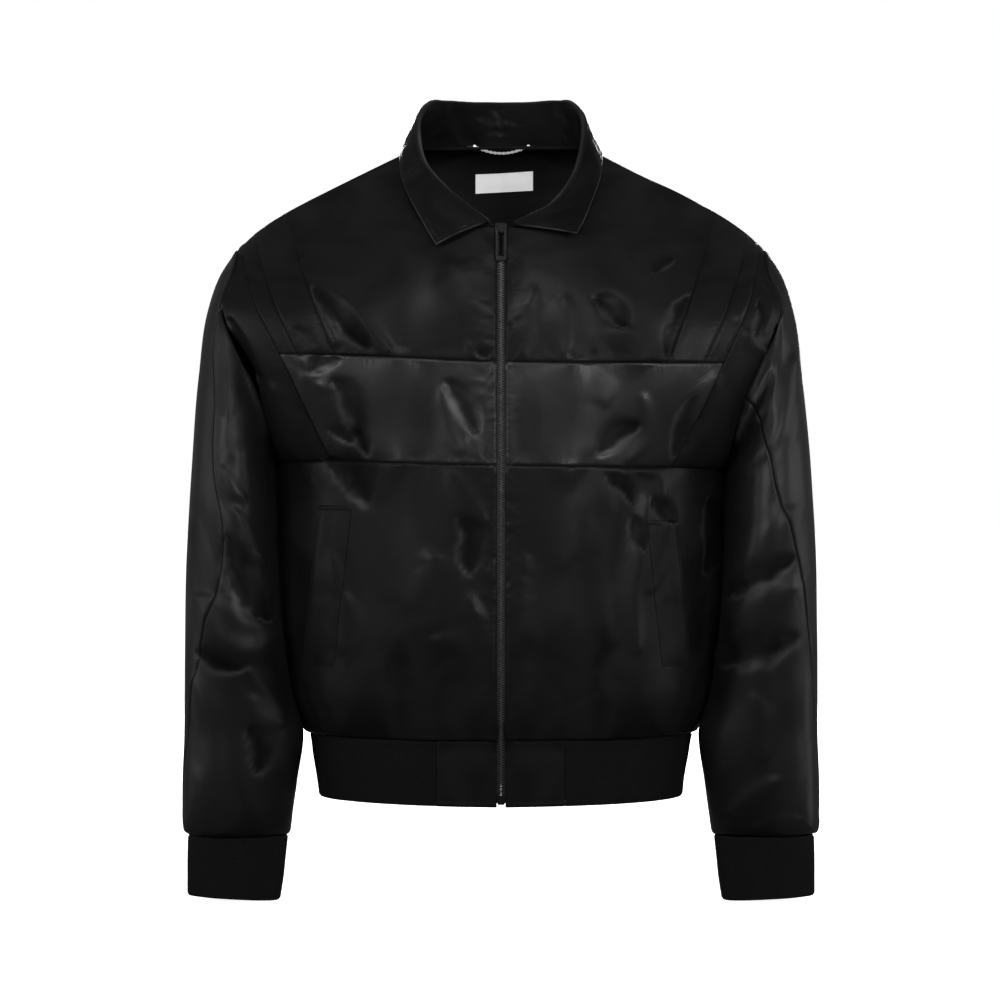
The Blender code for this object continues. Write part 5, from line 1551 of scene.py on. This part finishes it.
def tooth():
    # one tooth pointing to +x: a shank with a wider, rounded head
    outline = np.array([
        (0.0, -0.36), (0.45, -0.36), (0.62, -0.50), (0.90, -0.50), (1.0, -0.28),
        (1.0, 0.28), (0.90, 0.50), (0.62, 0.50), (0.45, 0.36), (0.0, 0.36),
    ])
    middle = np.array([0.5, 0.0])
    inset = middle + (outline - middle) * 0.86
    layers = ((inset, 0.0), (outline, 0.14), (outline, 0.86), (inset, 1.0))
    points = np.concatenate([stack(ring[:, 0], depth, ring[:, 1]) for ring, depth in layers])
    count = len(outline)
    faces = []
    for layer in range(3):
        one = np.arange(count) + layer * count
        two = np.roll(np.arange(count), -1) + layer * count
        faces.append(np.stack([one, two, two + count, one + count], -1))
    caps = np.array([(0, 1, 8, 9), (1, 2, 7, 8), (2, 3, 6, 7), (3, 4, 5, 6)])
    faces.append(caps[:, ::-1])
    faces.append(caps + 3 * count)
    return points, np.concatenate(faces)


def makeTeeth():
    count = int((zipper["topZ"] - zipper["endZ"]) / zipper["pitch"])
    z = zipper["endZ"] + zipper["pitch"] * (np.arange(count) + 0.5)
    side = np.where(np.arange(count) % 2 == 0, 1.0, -1.0)
    places = stack(-side * zipper["halfWidth"], middleY(z) + 0.0006, z)
    wide = zipper["halfWidth"] + zipper["overlap"]
    tip = np.random.default_rng(7).uniform(-0.03, 0.03, count)
    across = stack(side * wide, 0.0, tip * wide)
    deep = stack(np.zeros(count), zipper["toothDepth"], 0.0)
    high = stack(np.zeros(count), 0.0, zipper["toothHeight"])
    axes = np.stack([across, deep, high], axis=1)
    points, faces = tooth()
    moved, index = copies(points, faces, places, axes)
    flips = np.repeat(side < 0, len(faces))
    index[flips] = index[flips][:, ::-1]
    teeth = putIn("zip_teeth", moved, index[:, ::-1], toothMetal, smoothAngle=30)
    handOver(teeth, "zip_chain")


def makeTape(side, mark):
    # the woven tape behind the front edge, with the cord that holds the teeth
    length = zipper["tapeTopZ"] - zipper["tapeEndZ"]
    level = spread(length, 0.0030) * length + zipper["tapeEndZ"]
    first, last = acrossAt(level, zipper["tapeStart"]), acrossAt(level, zipper["tapeEnd"])
    base, normals = onBody(side, *betweenEdges(level, first, last, np.linspace(0, 1, 16)))
    u, v = lengths(base)
    wallHere = np.where(level < -0.560, cloth["ribWall"], cloth["satinWall"])[:, None] + 0.0003
    thick = 0.0006 + 0.0007 * bell(u - 0.0031, 0.0010)
    near = wallHere + 0.0012 - thick + noise(stack(v / 0.012, u / 0.01, 0.0), 501) * 0.00015
    outer = base - normals * near[..., None]
    inner = base - normals * (wallHere + 0.0013)[..., None]
    made = wall(f"zip_tape_{mark}_cloth", outer, inner, zipTape, plainMap(u, v))
    sew(made, base, f"zip_tape_{mark}")


makeTeeth()
for side, mark in sides:
    makeTape(side, mark)
for name in ("zip_slider", "zip_stop", "zip_pull"):
    frame["nodes"][name].material_slots[0].material = gunmetal
print("zip made")

# ---- camera, light and floor ----

lights = (
    # name, power, width, height, round the jacket in degrees, above it, distance
    ("soft left", 34.0, 1.3, 0.7, -36.0, 11.0, 2.6),
    ("soft right", 40.0, 1.3, 0.7, 31.0, 11.0, 2.6),
    ("side left", 18.0, 1.2, 1.3, -78.0, 6.0, 2.4),
    ("side right", 22.0, 1.2, 1.3, 78.0, 6.0, 2.4),
    ("neck", 20.0, 0.5, 0.3, 0.0, 26.0, 2.6),
    ("overhead", 6.0, 2.2, 1.4, 0.0, 62.0, 2.4),
    ("rim left", 4.0, 0.4, 1.8, -105.0, 6.0, 2.2),
    ("rim right", 7.0, 0.4, 1.8, 104.0, -2.0, 2.2),
    ("back", 46.0, 1.6, 0.8, 178.0, 14.0, 2.6),
)


chestMiddle = np.array([0.0, -0.05, -0.34])


def makeLight(name, power, width, height, around, above, distance):
    # an area light on a sphere round the chest, turned to it
    data = bpy.data.lights.new(name, "AREA")
    data.shape = "RECTANGLE"
    data.size, data.size_y = width, height
    data.energy = power
    turn, lift = math.radians(around), math.radians(above)
    way = np.array([math.sin(turn) * math.cos(lift), -math.cos(turn) * math.cos(lift), math.sin(lift)])
    light = bpy.data.objects.new(name, data)
    bpy.context.scene.collection.objects.link(light)
    light.location = chestMiddle + way * distance
    light.rotation_mode = "QUATERNION"
    toward = Vector((-way[0], -way[1], -way[2]))
    light.rotation_quaternion = toward.to_track_quat("-Z", "Y")
    light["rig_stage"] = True


floorZ = -0.7385


def makeFloor():
    # a pale floor just under the cuffs, brighter further out so that it joins the backdrop
    half, z = 30.0, floorZ
    points = np.array([(-half, -half, z), (half, -half, z), (half, half, z), (-half, half, z)])
    fixed = {"Base Color": (0.82, 0.82, 0.82, 1), "Roughness": 0.9, "Emission Strength": 1.0}
    made, start, shader = material("pale floor", fixed)
    place = start.node("ShaderNodeTexCoord", out=3)
    far = start.node("ShaderNodeVectorMath", {"operation": "LENGTH"}, {0: place}, 1)
    white = far.ramp(0.5, 1.4, 0.88, 1.1) * (1.0 + (place.noise(40.0, 2.0) - 0.5) * 0.004)
    grey = start.node("ShaderNodeCombineColor", {}, {0: white, 1: white, 2: white})
    plug(grey, shader, "Emission Color")
    floor = putIn("floor", points, np.array([[0, 1, 2, 3]]), made)
    floor.visible_diffuse = False
    floor.visible_glossy = False
    floor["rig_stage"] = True


def makeWorld():
    # white behind the jacket, dim grey in its reflections
    world = bpy.data.worlds.new("studio")
    bpy.context.scene.world = world
    world.use_nodes = True
    tree = world.node_tree
    tree.nodes.clear()
    start = Wire(tree)
    seen = start.node("ShaderNodeLightPath", out=0)
    white = start.node("ShaderNodeBackground", {}, {"Color": (1, 1, 1, 1), "Strength": 1.0})
    dim = start.node("ShaderNodeBackground", {}, {"Color": (0.92, 0.95, 1.0, 1), "Strength": 0.16})
    mixed = start.node("ShaderNodeMixShader", {}, {0: seen, 1: dim, 2: white})
    output = tree.nodes.new("ShaderNodeOutputWorld")
    tree.links.new(mixed.socket, output.inputs["Surface"])


def makeCamera():
    # one metre fills the picture's width at the jacket's middle plane
    distance = 2.8
    data = bpy.data.cameras.new("camera")
    data.sensor_width = 36
    data.lens = data.sensor_width * distance
    camera = bpy.data.objects.new("camera", data)
    bpy.context.scene.collection.objects.link(camera)
    camera.location = (-0.001, -distance, -0.344)
    camera.rotation_euler = (math.pi / 2, 0, 0)
    bpy.context.scene.camera = camera


for light in lights:
    makeLight(*light)
makeFloor()
makeWorld()
makeCamera()
bpy.context.scene.view_settings.view_transform = "Standard"

bpy.context.view_layer.update()
made = [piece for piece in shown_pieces() if piece.type == "MESH" and "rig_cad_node" not in piece]
triangles = sum(len(face.vertices) - 2 for piece in made for face in piece.data.polygons)
print("made", triangles, "triangles")
